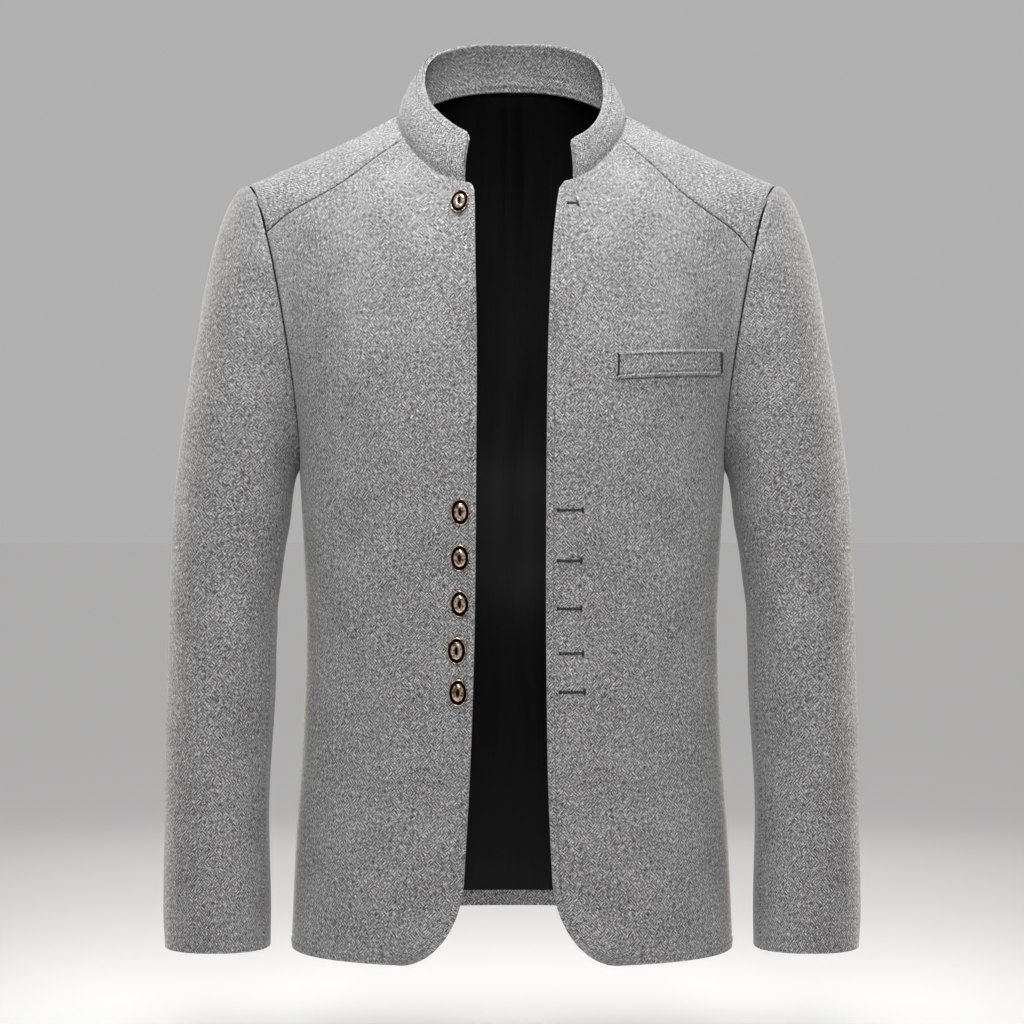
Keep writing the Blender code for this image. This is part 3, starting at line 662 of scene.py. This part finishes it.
def frontGrid(side):
    turns = np.linspace(0.0, form["yokeNeckTurn"], 200)
    neck = neckline(turns, front)
    firstTurn = np.interp(0.0, neck[:, 0] - edgeOffset(neck[:, 2], side), turns)
    places = crowd(frontSet["edgeColumns"], first=0.28, reach=0.5)[:-1]
    edgeU, edgeT = neckPlace(mix(firstTurn, form["yokeNeckTurn"], places), front)
    across = np.linalg.norm(np.diff(body(edgeU, edgeT, front), axis=0), axis=-1)
    across = np.insert(np.cumsum(across), 0, 0.0)
    away = np.clip(1.0 - across / form["topCorner"], 0.0, 1.0)
    edgeT = edgeT + form["topCorner"] * (1.0 - np.sqrt(1.0 - away ** 2)) / abs(form["chestZ"])
    seamU, seamT = yokePlace(crowd(frontSet["yokeColumns"], last=0.5, reach=0.2), 1.0, side)
    topU, topT = np.concatenate((edgeU, seamU)), np.concatenate((edgeT, seamT))
    corner = 1.0 - form["cornerHeight"] / (form["chestZ"] - form["hemZ"][front])
    lowSteps = np.linspace(0.0, corner, frontSet["bodyRows"] + 1)[1:]
    turn = np.radians(90.0) * np.arange(1, frontSet["cornerRows"] + 1) / frontSet["cornerRows"]
    lowSteps = np.concatenate((lowSteps, mix(corner, 1.0, np.sin(turn))))
    steps = np.concatenate((crowd(frontSet["chestRows"], first=0.4, reach=0.15), 1.0 + lowSteps))[:, None]
    t = np.where(steps < 1.0, mix(topT, 1.0, np.minimum(steps, 1.0)), steps)
    edge = frontShare(t, side)
    start = frontShare(edgeT, side)
    topPlaces = np.maximum((edgeU - start) / (seamU[0] - start), 0.0)
    topPlaces[0] = 0.0
    across = mix(topPlaces, places, smooth(np.minimum(steps, 1.0)))
    near = mix(edge[:, :len(places)], np.maximum(seamU[0], edge[:, :len(places)]), across)
    far = np.maximum(np.broadcast_to(seamU, (len(steps), len(seamU))), edge[:, len(places):])
    return bodySpot(np.concatenate((near, far), 1), t, front, side)


def yokeGrid(side):
    along = crowd(yokeSet["columns"], first=0.5, last=0.5, reach=0.15)
    down = crowd(yokeSet["rows"], first=0.5, last=0.5)[:, None]
    along, down = np.broadcast_arrays(along, down)
    return bodySpot(*yokePlace(along, down, side), front, side)


fronts = {}
for side in (right, left):
    name = "front_" + sideName[side]
    cloth, outer, normals = addShell(name + "_wool", *frontGrid(side), frontSet, wool)
    tree = surfaceOf(cloth)
    rimPoints = np.concatenate((outer[:, 0], outer[-1, 1:]))
    rimNormals = np.concatenate((normals[:, 0], normals[-1, 1:]))
    seam = edgeLine(rimPoints, rimNormals, stitchSet["inset"] - frontSet["drawn"], side)[frontSet["stitchFromRow"]:]
    thread = addBars(name + "_topstitch", stitchLine(seam, tree), stitchThread)
    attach(thread, "root")
    hang(cloth, [name])
    fronts[side] = tree
    yoke, _, _ = addShell("yoke_" + sideName[side] + "_wool", *yokeGrid(side), yokeSet, wool)
    hang(yoke, ["yoke_" + sideName[side]])
print("fronts and yokes made")


# back

backSet = {
    "thick": 2.2, "neckColumns": 26, "ridgeColumns": 46, "chestRows": 84, "bodyRows": 92,
    "rolls": {"top": 0.4, "first": 0.5, "last": 0.5}, "stitched": {"bottom": 6.5}, "wave": 0.6,
    "creases": (
        (-150.0, 150.0, -125.0, 310.0, 18.0, -2.0), (-117.0, 130.0, -95.0, 270.0, 20.0, 1.3),
        (150.0, 140.0, 127.0, 300.0, 18.0, -1.8), (115.0, 150.0, 99.0, 280.0, 20.0, 1.2),
        (-95.0, 395.0, -13.0, 420.0, 16.0, -1.4), (17.0, 425.0, 105.0, 398.0, 15.0, -1.5),
        (-75.0, 440.0, -35.0, 660.0, 26.0, 1.4), (55.0, 450.0, 37.0, 660.0, 24.0, 1.2),
        (0.0, 470.0, 3.0, 660.0, 22.0, -1.2),
    ),
    "centred": True, "bulge": 0.9, "levelRow": 84,
    "flat": (0.50, 0.72), "area": 0.325,
}


def backPlaces(steps, topShift, end, columns=backSet):
    # u and t over one half of the back, from the centre line outwards
    turns = np.linspace(0.0, 1.0, columns["neckColumns"] + 1)
    neckU, neckT = neckPlace(turns, back)
    ridge = mix(form["neckShare"], 1.0, crowd(columns["ridgeColumns"], last=0.5, reach=0.2)[1:])
    topU, topT = np.concatenate((neckU, ridge)), np.concatenate((neckT, np.zeros(len(ridge))))
    lowU = np.concatenate((turns * form["neckShare"], ridge))
    t = np.where(steps < 1.0, mix(topT + topShift, 1.0, np.minimum(steps, 1.0)), steps)
    return mix(topU, lowU, np.minimum(steps, 1.0)) * end, t


def bothHalves(u, t):
    rightSpots = bodySpot(u[:, :0:-1], t[:, :0:-1], back, right)
    leftSpots = bodySpot(u, t, back, left)
    return [np.concatenate(pair, 1) for pair in zip(rightSpots, leftSpots)]


steps = np.concatenate((crowd(backSet["chestRows"], first=0.4, reach=0.15),
                        1.0 + crowd(backSet["bodyRows"], last=0.25, reach=0.12)[1:]))[:, None]
backCloth, _, _ = addShell("back_wool", *bothHalves(*backPlaces(steps, 0.0, 1.0)), backSet, wool)
hang(backCloth, ["back"])
print("back made")


# sleeves

sleeveSet = {
    "power": 2.2, "outset": 0.5, "frontSeam": 0.4289, "backSeam": 0.6667,
    # turn round the armhole: how the cloth leaves it and arrives at the arm, x, y, z each
    "flow": (
        (0.00, 90.0, 0.0, 0.0, 22.0, 0.0, -283.0), (0.25, 62.0, -45.0, -20.0, 8.0, 2.0, -170.0),
        (0.50, 22.0, 0.0, -25.0, 6.0, 0.0, -45.0), (0.75, 62.0, 30.0, -20.0, 8.0, -30.0, -170.0),
        (1.00, 90.0, 0.0, 0.0, 22.0, 0.0, -283.0),
    ),
    # z: centre x, centre y, half width, half depth
    "sections": (
        (-345.0, 235.5, -1.0, 48.5, 68.0), (-409.0, 240.7, -6.0, 45.3, 63.0), (-493.0, 242.5, -14.0, 44.5, 56.5),
        (-577.0, 245.2, -21.0, 43.2, 52.0), (-661.0, 244.8, -25.0, 44.2, 49.0), (-695.0, 244.2, -26.0, 43.4, 48.0),
    ),
    "headRows": 70, "armRows": 84,
    # the line that the weft goes round: depths below the origin and its x or y there; then its radius
    "weftX": ((62.0, 345.0), (195.0, 236.0)), "weftY": ((345.0, 695.0), (-1.0, -26.0)), "weftRadius": 60.0,
    "top": {
        "thick": 2.2, "columns": 92, "rolls": {"top": 0.9, "first": 0.4, "last": 0.4}, "wave": 0.5,
        "bulge": 0.9, "levelRow": 70,
        "creases": (
            (150.0, 250.0, 205.0, 285.0, 14.0, -1.8), (150.0, 330.0, 205.0, 318.0, 13.0, -1.5),
            (60.0, 320.0, 10.0, 345.0, 15.0, -1.6), (70.0, 370.0, 20.0, 365.0, 14.0, -1.2),
            (120.0, 90.0, 175.0, 170.0, 18.0, -1.2), (110.0, 420.0, 150.0, 560.0, 22.0, 1.0),
        ),
        "flat": (0.29, 0.65), "area": 0.147,
    },
    "under": {
        "thick": 2.2, "columns": 44, "rolls": {"top": 0.3, "first": 0.4, "last": 0.4}, "wave": 0.5,
        "bulge": 0.9, "levelRow": 70,
        "creases": (
            (20.0, 110.0, 70.0, 130.0, 13.0, -1.6), (25.0, 160.0, 75.0, 150.0, 12.0, -1.3),
            (15.0, 60.0, 60.0, 90.0, 14.0, -1.4),
        ),
        "flat": (0.10, 0.46), "area": 0.037,
    },
}


def sleeveSection(turn, z):
    sizes = readTable(sleeveSet["sections"], z)
    x, y = oval(2.0 * math.pi * turn, sizes[..., 2], sizes[..., 3], sleeveSet["power"])
    return np.stack((sizes[..., 0] + x, sizes[..., 1] - y, z), -1)


def sleevePoint(turn, row):
    # row runs 0 to 1 over the sleeve head and on to 2 at the cuff
    turn, row = np.broadcast_arrays(turn % 1.0, row)
    topZ, endZ = sleeveSet["sections"][0][0], sleeveSet["sections"][-1][0]
    low = sleeveSection(turn, mix(topZ, endZ, np.clip(row - 1.0, 0.0, 1.0)))
    ahead = (turn <= 0.5)[..., None]
    ones = np.ones(turn.shape)
    armhole = np.where(ahead, body(ones, 2.0 * np.minimum(turn, 0.5), front),
                       body(ones, 2.0 - 2.0 * np.maximum(turn, 0.5), back))
    flow = readTable(sleeveSet["flow"], turn)
    head = hermite(armhole + (sleeveSet["outset"], 0.0, 0.0), sleeveSection(turn, np.full(turn.shape, topZ)),
                   flow[..., :3], flow[..., 3:], np.clip(row, 0.0, 1.0)[..., None])
    return np.where((row >= 1.0)[..., None], low, head)


def sleeveGrid(turns, rows, side):
    nudge = 0.002
    around = sleevePoint(turns + nudge, rows) - sleevePoint(turns - nudge, rows)
    down = sleevePoint(turns, np.minimum(rows + nudge, 2.0)) - sleevePoint(turns, np.maximum(rows - nudge, 0.0))
    flip = np.array((side, 1.0, 1.0))
    return sleevePoint(turns, rows) * flip, unit(np.cross(around, down)) * flip


def weftRound(points):
    # the weft of a sleeve goes round a line from inside the shoulder down the middle of the arm
    x, y, z = np.moveaxis(points, -1, 0)
    middleX = np.interp(-z, *sleeveSet["weftX"])
    middleY = np.interp(-z, *sleeveSet["weftY"])
    return sleeveSet["weftRadius"] * np.unwrap(np.arctan2(middleY - y, np.abs(x) - middleX), axis=1)


rows = np.concatenate((crowd(sleeveSet["headRows"], first=0.4, reach=0.2),
                       1.0 + crowd(sleeveSet["armRows"], last=0.4, reach=0.12)[1:]))[:, None]
for side in (right, left):
    seamFront, seamBack = sleeveSet["frontSeam"], sleeveSet["backSeam"]
    spans = {"top": (seamBack, 1.0 + seamFront), "under": (seamFront, seamBack)}
    for part, (start, end) in spans.items():
        cloth = sleeveSet[part]
        turns = mix(start, end, crowd(cloth["columns"], first=0.5, last=0.5, reach=0.1))[None, :]
        name = "sleeve_" + part + "_" + sideName[side]
        points, normals = sleeveGrid(turns, rows, side)
        thing, _, _ = addShell(name + "_wool", points, normals, dict(cloth, weft=weftRound(points)), wool)
        hang(thing, [name])
print("sleeves made")


# collar

collarSet = {
    "thick": 4.0, "gap": 0.0, "columns": 90, "rows": 26, "lift": -4.0,
    "end": {right: 41.0, left: 53.0}, "topCorner": 3.5,
    # turn round the neck from front to back: height, lean inwards
    "rise": {
        right: ((0.00, 36.0, 9.0), (0.15, 41.0, 13.0), (0.22, 43.0, 15.0), (0.35, 40.0, 17.0), (0.50, 37.5, 19.0),
                (0.60, 42.0, 17.0), (0.68, 43.0, 14.0), (0.78, 39.5, 10.0), (1.00, 35.5, 5.0)),
        left: ((0.00, 32.0, 6.0), (0.20, 31.5, 6.0), (0.30, 29.0, 10.0), (0.40, 28.0, 14.0), (0.50, 30.5, 16.0),
               (0.60, 38.0, 14.0), (0.68, 40.5, 12.0), (0.78, 38.5, 9.0), (1.00, 35.5, 5.0)),
    },
    "stitched": {"top": 6.5, "first": 6.5, "last": 6.5}, "trough": (0.6, 1.4), "turned": 1.0,
    "wave": 0.15, "bulge": 1.2, "flat": (0.52, 0.047), "area": 0.0218,
}


def collarGrid():
    ends = {}
    for side in (right, left):
        cosine = (collarSet["end"][side] / form["neckHalfWidth"]) ** (0.5 * form["neckPower"])
        ends[side] = 1.0 - math.acos(cosine) / math.radians(90.0)
    fine = crowd(collarSet["columns"], first=0.3, reach=0.2)[:-1]
    behind = np.linspace(0.0, 1.0, collarSet["columns"] // 2)
    runs = [(mix(ends[right], 1.0, fine), front, right), (behind[::-1], back, right),
            (behind[1:], back, left), (mix(ends[left], 1.0, fine)[::-1], front, left)]
    base, height, lean = [], [], []
    for turns, half, side in runs:
        base.append(neckline(turns, half) * (side, 1.0, 1.0))
        rise = readTable(collarSet["rise"][side], 0.5 * turns if half == front else 1.0 - 0.5 * turns)
        height.append(rise[:, 0])
        lean.append(rise[:, 1])
    base, height, lean = (np.concatenate(x) for x in (base, height, lean))
    toEnd, fromEnd = arcs(base[None], 1)
    away = np.clip(1.0 - np.minimum(toEnd, fromEnd)[0] / collarSet["topCorner"], 0.0, 1.0)
    top = 1.0 - collarSet["topCorner"] * (1.0 - np.sqrt(1.0 - away ** 2)) / height
    up = mix(collarSet["lift"] / height, top, np.linspace(0.0, 1.0, collarSet["rows"] + 1)[:, None])
    inward = unit(np.stack((-base[:, 0], form["neckCentreY"] - base[:, 1], np.zeros(len(base))), -1))
    rise = np.stack((np.zeros_like(up), np.zeros_like(up), height * up), -1)
    points = base + rise + inward * (lean * up ** 2)[..., None]
    return points, unit(np.cross(np.gradient(points, axis=0), np.gradient(points, axis=1)))


points, normals = collarGrid()
middle = points.shape[1] // 2
if normals[0, middle, 1] < 0.0:
    normals = -normals
collar, outer, normals = addShell("collar_wool", points, normals, collarSet, wool)
tree = surfaceOf(collar)
rimPoints = np.concatenate((outer[:, 0], outer[-1, 1:-1], outer[::-1, -1]))
rimNormals = np.concatenate((normals[:, 0], normals[-1, 1:-1], normals[::-1, -1]))
topEdge = slice(len(outer), -len(outer))
seam = edgeLine(rimPoints, rimNormals, stitchSet["inset"], collarSet["turned"])[topEdge]
seamInside = seam - rimNormals[topEdge] * collarSet["thick"]
thread = addBars("collar_topstitch", stitchLine(seam, tree) + stitchLine(seamInside, tree), stitchThread)
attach(thread, "root")
hang(collar, ["collar"])
print("collar made")


# linings

liningSet = {
    "air": 2.0, "seamGap": 0.3, "hem": 14.0, "tack": 25.0, "topT": 0.006, "armholeShare": 0.94,
    "widening": (0.75, 1.12), "backRows": (70, 80), "frontRows": (60, 80), "frontColumns": 44,
    "back": {
        "thick": 1.0, "wave": 0.6, "centred": True, "flat": (0.48, 0.70), "area": 0.305,
        # the pleat at the centre back, let go below the shoulder blades
        "creases": (
            (-9.0, -90.0, -12.0, 240.0, 6.0, -2.4), (8.0, -90.0, 10.0, 300.0, 7.0, -2.6),
            (-1.0, -90.0, -1.0, 240.0, 6.0, 1.8),
            (-34.0, -40.0, -22.0, 190.0, 10.0, -1.6), (30.0, -40.0, 22.0, 220.0, 10.0, -1.7),
            (-2.0, 180.0, -14.0, 480.0, 13.0, -1.5), (17.0, 220.0, 12.0, 520.0, 12.0, 1.4),
            (14.0, 380.0, 16.0, 720.0, 10.0, -2.2), (-6.0, 430.0, -2.0, 720.0, 9.0, -1.6),
            (4.0, 480.0, 6.0, 730.0, 7.0, 1.8),
        ),
    },
    "front": {"thick": 1.0, "wave": 0.5, "flat": (0.20, 0.64), "area": 0.086},
}


def liningEnd(t):
    low, high = liningSet["widening"]
    return mix(liningSet["armholeShare"], 1.0, np.clip((t - low) / (high - low), 0.0, 1.0))


def hungInside(points, normals, shell):
    # loose above, down to a seam's gap at its own hem
    above = np.linalg.norm(points - points[-1], axis=-1)
    air = mix(liningSet["seamGap"], liningSet["air"], np.minimum(above / liningSet["tack"], 1.0))
    return points - normals * (shell + air)[..., None], normals


hemShare = 1.0 - liningSet["hem"] / (form["chestZ"] - form["hemZ"][back])
chestRows, bodyRows = liningSet["backRows"]
steps = np.concatenate((np.linspace(0.0, 1.0, chestRows),
                        1.0 + hemShare * crowd(bodyRows, last=0.4, reach=0.1)[1:]))[:, None]
u, t = backPlaces(steps, liningSet["topT"], liningEnd(steps))
points, normals = bothHalves(u, t)
lining, _, _ = addShell("lining_back_satin", *hungInside(points, normals, backSet["thick"]), liningSet["back"], satin)
hang(lining, ["lining_back"])
hemShare = 1.0 - liningSet["hem"] / (form["chestZ"] - form["hemZ"][front])
seamU = float(neckPlace(np.array([form["yokeNeckTurn"]]), front)[0][0])
chestRows, bodyRows = liningSet["frontRows"]
for side in (right, left):
    steps = np.concatenate((np.linspace(0.0, 1.0, chestRows),
                            1.0 + hemShare * np.linspace(0.0, 1.0, bodyRows)[1:]))[:, None]
    t = np.where(steps < 1.0, mix(liningSet["topT"], 1.0, np.minimum(steps, 1.0)), steps)
    u = mix(seamU, 1.0, np.linspace(0.0, 1.0, liningSet["frontColumns"])) * liningEnd(t)
    u, t = np.broadcast_arrays(u, t)
    name = "lining_front_" + sideName[side]
    spots = hungInside(*bodySpot(u, t, front, side), frontSet["thick"])
    thing, _, _ = addShell(name + "_satin", *spots, liningSet["front"], satin)
    hang(thing, [name])
print("linings made")


# breast pocket

weltSet = {
    "thick": 1.8, "gap": 0.3, "columns": 90, "rows": 48, "lift": 2.6, "trough": (0.9, 0.9),
    # x, z of its corners as seen from the front
    "top": ((83.3, -207.0), (171.0, -201.5)), "bottom": ((82.0, -229.0), (171.0, -223.0)),
    "stitched": {"top": 2.6, "bottom": 2.6, "last": 3.0}, "wave": 0.15,
    # end tacks: column and thread radius of each, then their spacing, half length and the rows left free
    "tacks": ((1, 0.4), (-2, 0.3)), "tackSpacing": 0.7, "tackReach": 1.1, "tackFree": 4,
    "flat": (0.125, 0.024), "area": 0.0025,
}
along = np.linspace(0.0, 1.0, weltSet["columns"])[None, :, None]
down = np.linspace(0.0, 1.0, weltSet["rows"])[:, None, None]
corners = {key: mix(np.array(weltSet[key][0]), np.array(weltSet[key][1]), along) for key in ("top", "bottom")}
seen = mix(corners["top"], corners["bottom"], down)
points, normals = bodySpot(*seenFromFront(seen[..., 0], seen[..., 1]), front, left)
points = seatedOn(fronts[left], points, normals)
welt, outer, normals = addShell("welt_pocket_wool", points + normals * weltSet["lift"], normals, weltSet, wool)
bars = []
sideways = unit(outer[0, 2] - outer[0, 1]) * weltSet["tackReach"]
for column, radius in weltSet["tacks"]:
    spots = resampled(outer[weltSet["tackFree"]:-weltSet["tackFree"], column], weltSet["tackSpacing"])
    out = normals[weltSet["rows"] // 2, column]
    bars += [stitchBar(spot - sideways, spot + sideways, out, radius) for spot in spots]
tacks = addBars("welt_pocket_tacks", bars, buttonholeThread)
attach(tacks, "root")
hang(welt, ["welt_pocket"])
print("breast pocket made")


# buttons

buttonSet = {
    "halfWidth": 7.6, "halfHeight": 10.8, "steps": 56, "seat": 0.3,
    # the hollow in the middle is narrower than the rim
    "hollow": 0.42, "hollowNarrow": 0.55,
    # x, z as seen from the front
    "spots": ((-42.0, -84.8), (-41.0, -335.0), (-41.5, -371.7), (-41.5, -408.3), (-44.0, -445.8), (-43.0, -479.3)),
    # share of the half size, height, darkness, which is patina in the groove and painted reflection in the middle of
    # the dome
    "profile": (
        (0.00, 0.0, 0.5), (0.60, 0.0, 0.5), (0.92, 0.4, 0.4), (1.00, 0.9, 0.2), (1.01, 1.4, 0.0), (0.99, 1.9, 0.0),
        (0.96, 2.2, 0.0), (0.93, 2.2, 0.1), (0.90, 1.9, 0.6), (0.87, 1.4, 1.0), (0.78, 1.2, 1.0), (0.70, 1.4, 1.0),
        (0.67, 1.9, 0.8), (0.63, 2.5, 0.35), (0.57, 3.0, 0.1), (0.48, 3.4, 0.0), (0.42, 3.5, 0.05),
        # the dark middle of the dome is painted reflection
        (0.34, 3.35, 0.45), (0.26, 3.0, 0.75), (0.16, 2.8, 0.8), (0.07, 2.7, 0.8), (0.00, 2.7, 0.8),
    ),
}


def frameOnFront(x, z):
    side = math.copysign(1.0, x)
    u, t = seenFromFront(np.array([abs(x)]), np.array([z]))
    here, normal = (a[0] for a in bodySpot(u, t, front, side))
    above = body(u, t - 0.002, front)[0] * (side, 1.0, 1.0)
    across = unit(np.cross(above - here, normal))
    return here, across, np.cross(normal, across), normal


def addButton(number, spot):
    here, across, up, normal = frameOnFront(*spot)
    points, patina = [], []
    steps = buttonSet["steps"]
    for share, height, dark in buttonSet["profile"]:
        for k in range(steps):
            a = 2.0 * math.pi * k / steps
            narrow = buttonSet["hollowNarrow"] if share < buttonSet["hollow"] else 1.0
            points.append(here + across * math.cos(a) * share * narrow * buttonSet["halfWidth"]
                          + up * math.sin(a) * share * buttonSet["halfHeight"]
                          + normal * (buttonSet["seat"] + height))
            patina.append(dark)
    faces = []
    for ring in range(len(buttonSet["profile"]) - 1):
        for k in range(steps):
            a, b = ring * steps + k, ring * steps + (k + 1) % steps
            faces.append((a, b, b + steps, a + steps))
    thing = addMesh("button_" + str(number) + "_copper", points, faces, copper, patina=patina)
    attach(thing, "root")
    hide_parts("button_" + str(number))


for number, spot in enumerate(buttonSet["spots"], start=1):
    addButton(number, spot)
print("buttons made")


# buttonholes, on the left front

holeSet = {
    # x of both ends, z
    "rows": ((45.0, 53.5, -85.0), (36.6, 57.0, -333.5), (36.6, 55.4, -374.0), (36.6, 55.4, -412.2),
             (38.2, 57.0, -448.0), (38.2, 58.5, -479.0)),
    "bite": 1.05, "spacing": 0.62, "radius": 0.36, "tack": 2.3, "uneven": 0.35, "slit": 0.1, "seat": 0.1,
    # end bars: which end and its share of the tack's length, where their threads lie, height on the cloth
    "bars": ((-1, 1.25), (0, 0.7)), "barThreads": (-0.6, 0.0, 0.6), "barSeat": 0.2,
}
bars = []
for startX, endX, z in holeSet["rows"]:
    xs = np.arange(startX, endX, holeSet["spacing"])
    spots, outs = bodySpot(*seenFromFront(xs, np.full_like(xs, z)), front, left)
    spots = seatedOn(fronts[left], spots, outs)
    for spot, out in zip(spots, outs):
        rise = unit(np.array((0.0, 0.0, 1.0)) - out * out[2])
        lifted = spot + out * holeSet["seat"]
        for way in (1.0, -1.0):
            bite = holeSet["bite"] * (1.0 + holeSet["uneven"] * math.sin(5.0 * spot[0] + way + z))
            bars.append(stitchBar(lifted + rise * way * holeSet["slit"], lifted + rise * way * bite, out,
                                  holeSet["radius"]))
    for end, reach in holeSet["bars"]:
        spot, out = spots[end] + outs[end] * holeSet["barSeat"], outs[end]
        rise = unit(np.array((0.0, 0.0, 1.0)) - out * out[2])
        aside = np.cross(rise, out)
        for k in holeSet["barThreads"]:
            bars.append(stitchBar(spot + aside * k + rise * holeSet["tack"] * reach,
                                  spot + aside * k - rise * holeSet["tack"] * reach, out, holeSet["radius"]))
holes = addBars("buttonholes_thread", bars, buttonholeThread)
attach(holes, "root")
print("buttonholes sewn")


# floor and light

stageSet = {
    "floorZ": -0.80, "floorSize": 80.0, "floorColour": "#fbfaf9", "airColour": "#d0d0d0", "airStrength": 0.69,
}
reach, level = 0.5 * stageSet["floorSize"] / mm, stageSet["floorZ"] / mm
corners = [(-reach, -reach, level), (reach, -reach, level), (reach, reach, level), (-reach, reach, level)]
floorMaterial, tree, shader = newMaterial("matt_painted_floor", Roughness=0.9)
shader.inputs["Base Color"].default_value = linear(stageSet["floorColour"])
floor = addMesh("floor", corners, [(0, 1, 2, 3)], floorMaterial, bpy.context.scene.collection)
world = bpy.data.worlds.new("studio")
world.use_nodes = True
world.node_tree.nodes["Background"].inputs["Color"].default_value = linear(stageSet["airColour"])
world.node_tree.nodes["Background"].inputs["Strength"].default_value = stageSet["airStrength"]
bpy.context.scene.world = world

lights = (
    # name, place, aimed at, width and height, watts, spread in degrees, colour
    ("back_softbox", (0.0, 2.0, 0.6), (0.0, 0.1, -0.30), (1.2, 1.2), 6.0, 110.0, "#ffffff"),
    ("overhead_softbox", (0.0, -0.15, 1.0), (0.0, -0.02, 0.0), (0.6, 0.6), 2.7, 60.0, "#ffffff"),
    ("chest_softbox", (0.0, -1.7, 0.8), (0.0, -0.1, -0.14), (0.6, 0.6), 1.1, 40.0, "#ffffff"),
    ("rim_strip_left", (-0.48, 0.09, -0.38), (-0.27, 0.0, -0.38), (0.08, 0.74), 0.6, 150.0, "#fff6ea"),
    ("rim_strip_right", (0.48, 0.09, -0.38), (0.27, 0.0, -0.38), (0.08, 0.74), 0.75, 150.0, "#fff6ea"),
    ("low_rim_left", (-0.62, 1.5, -0.45), (-0.17, 0.0, -0.50), (0.5, 0.5), 6.0, 110.0, "#fff3e2"),
    ("low_rim_right", (0.62, 1.5, -0.45), (0.17, 0.0, -0.50), (0.5, 0.5), 6.0, 110.0, "#fff3e2"),
)
# flags keep each edge light on one group of pieces and off the floor
edgeLit = {}
for key, starts in (("rim_strip", ("sleeve", "yoke")), ("low_rim", ("front",))):
    edgeLit[key] = bpy.data.collections.new(key + "_receivers")
    for thing in jacket.objects:
        if thing.name.startswith(starts):
            edgeLit[key].objects.link(thing)
for name, place, aim, size, watts, spread, colour in lights:
    lamp = bpy.data.lights.new(name, "AREA")
    lamp.shape = "RECTANGLE"
    lamp.size, lamp.size_y = size
    lamp.energy = watts
    lamp.color = linear(colour)[:3]
    lamp.spread = math.radians(spread)
    thing = bpy.data.objects.new(name, lamp)
    thing.location = place
    thing.rotation_euler = (Vector(aim) - Vector(place)).to_track_quat("-Z", "Y").to_euler()
    thing.visible_camera = False
    for key, group in edgeLit.items():
        if name.startswith(key):
            thing.light_linking.receiver_collection = group
    bpy.context.scene.collection.objects.link(thing)
print("stage lit")
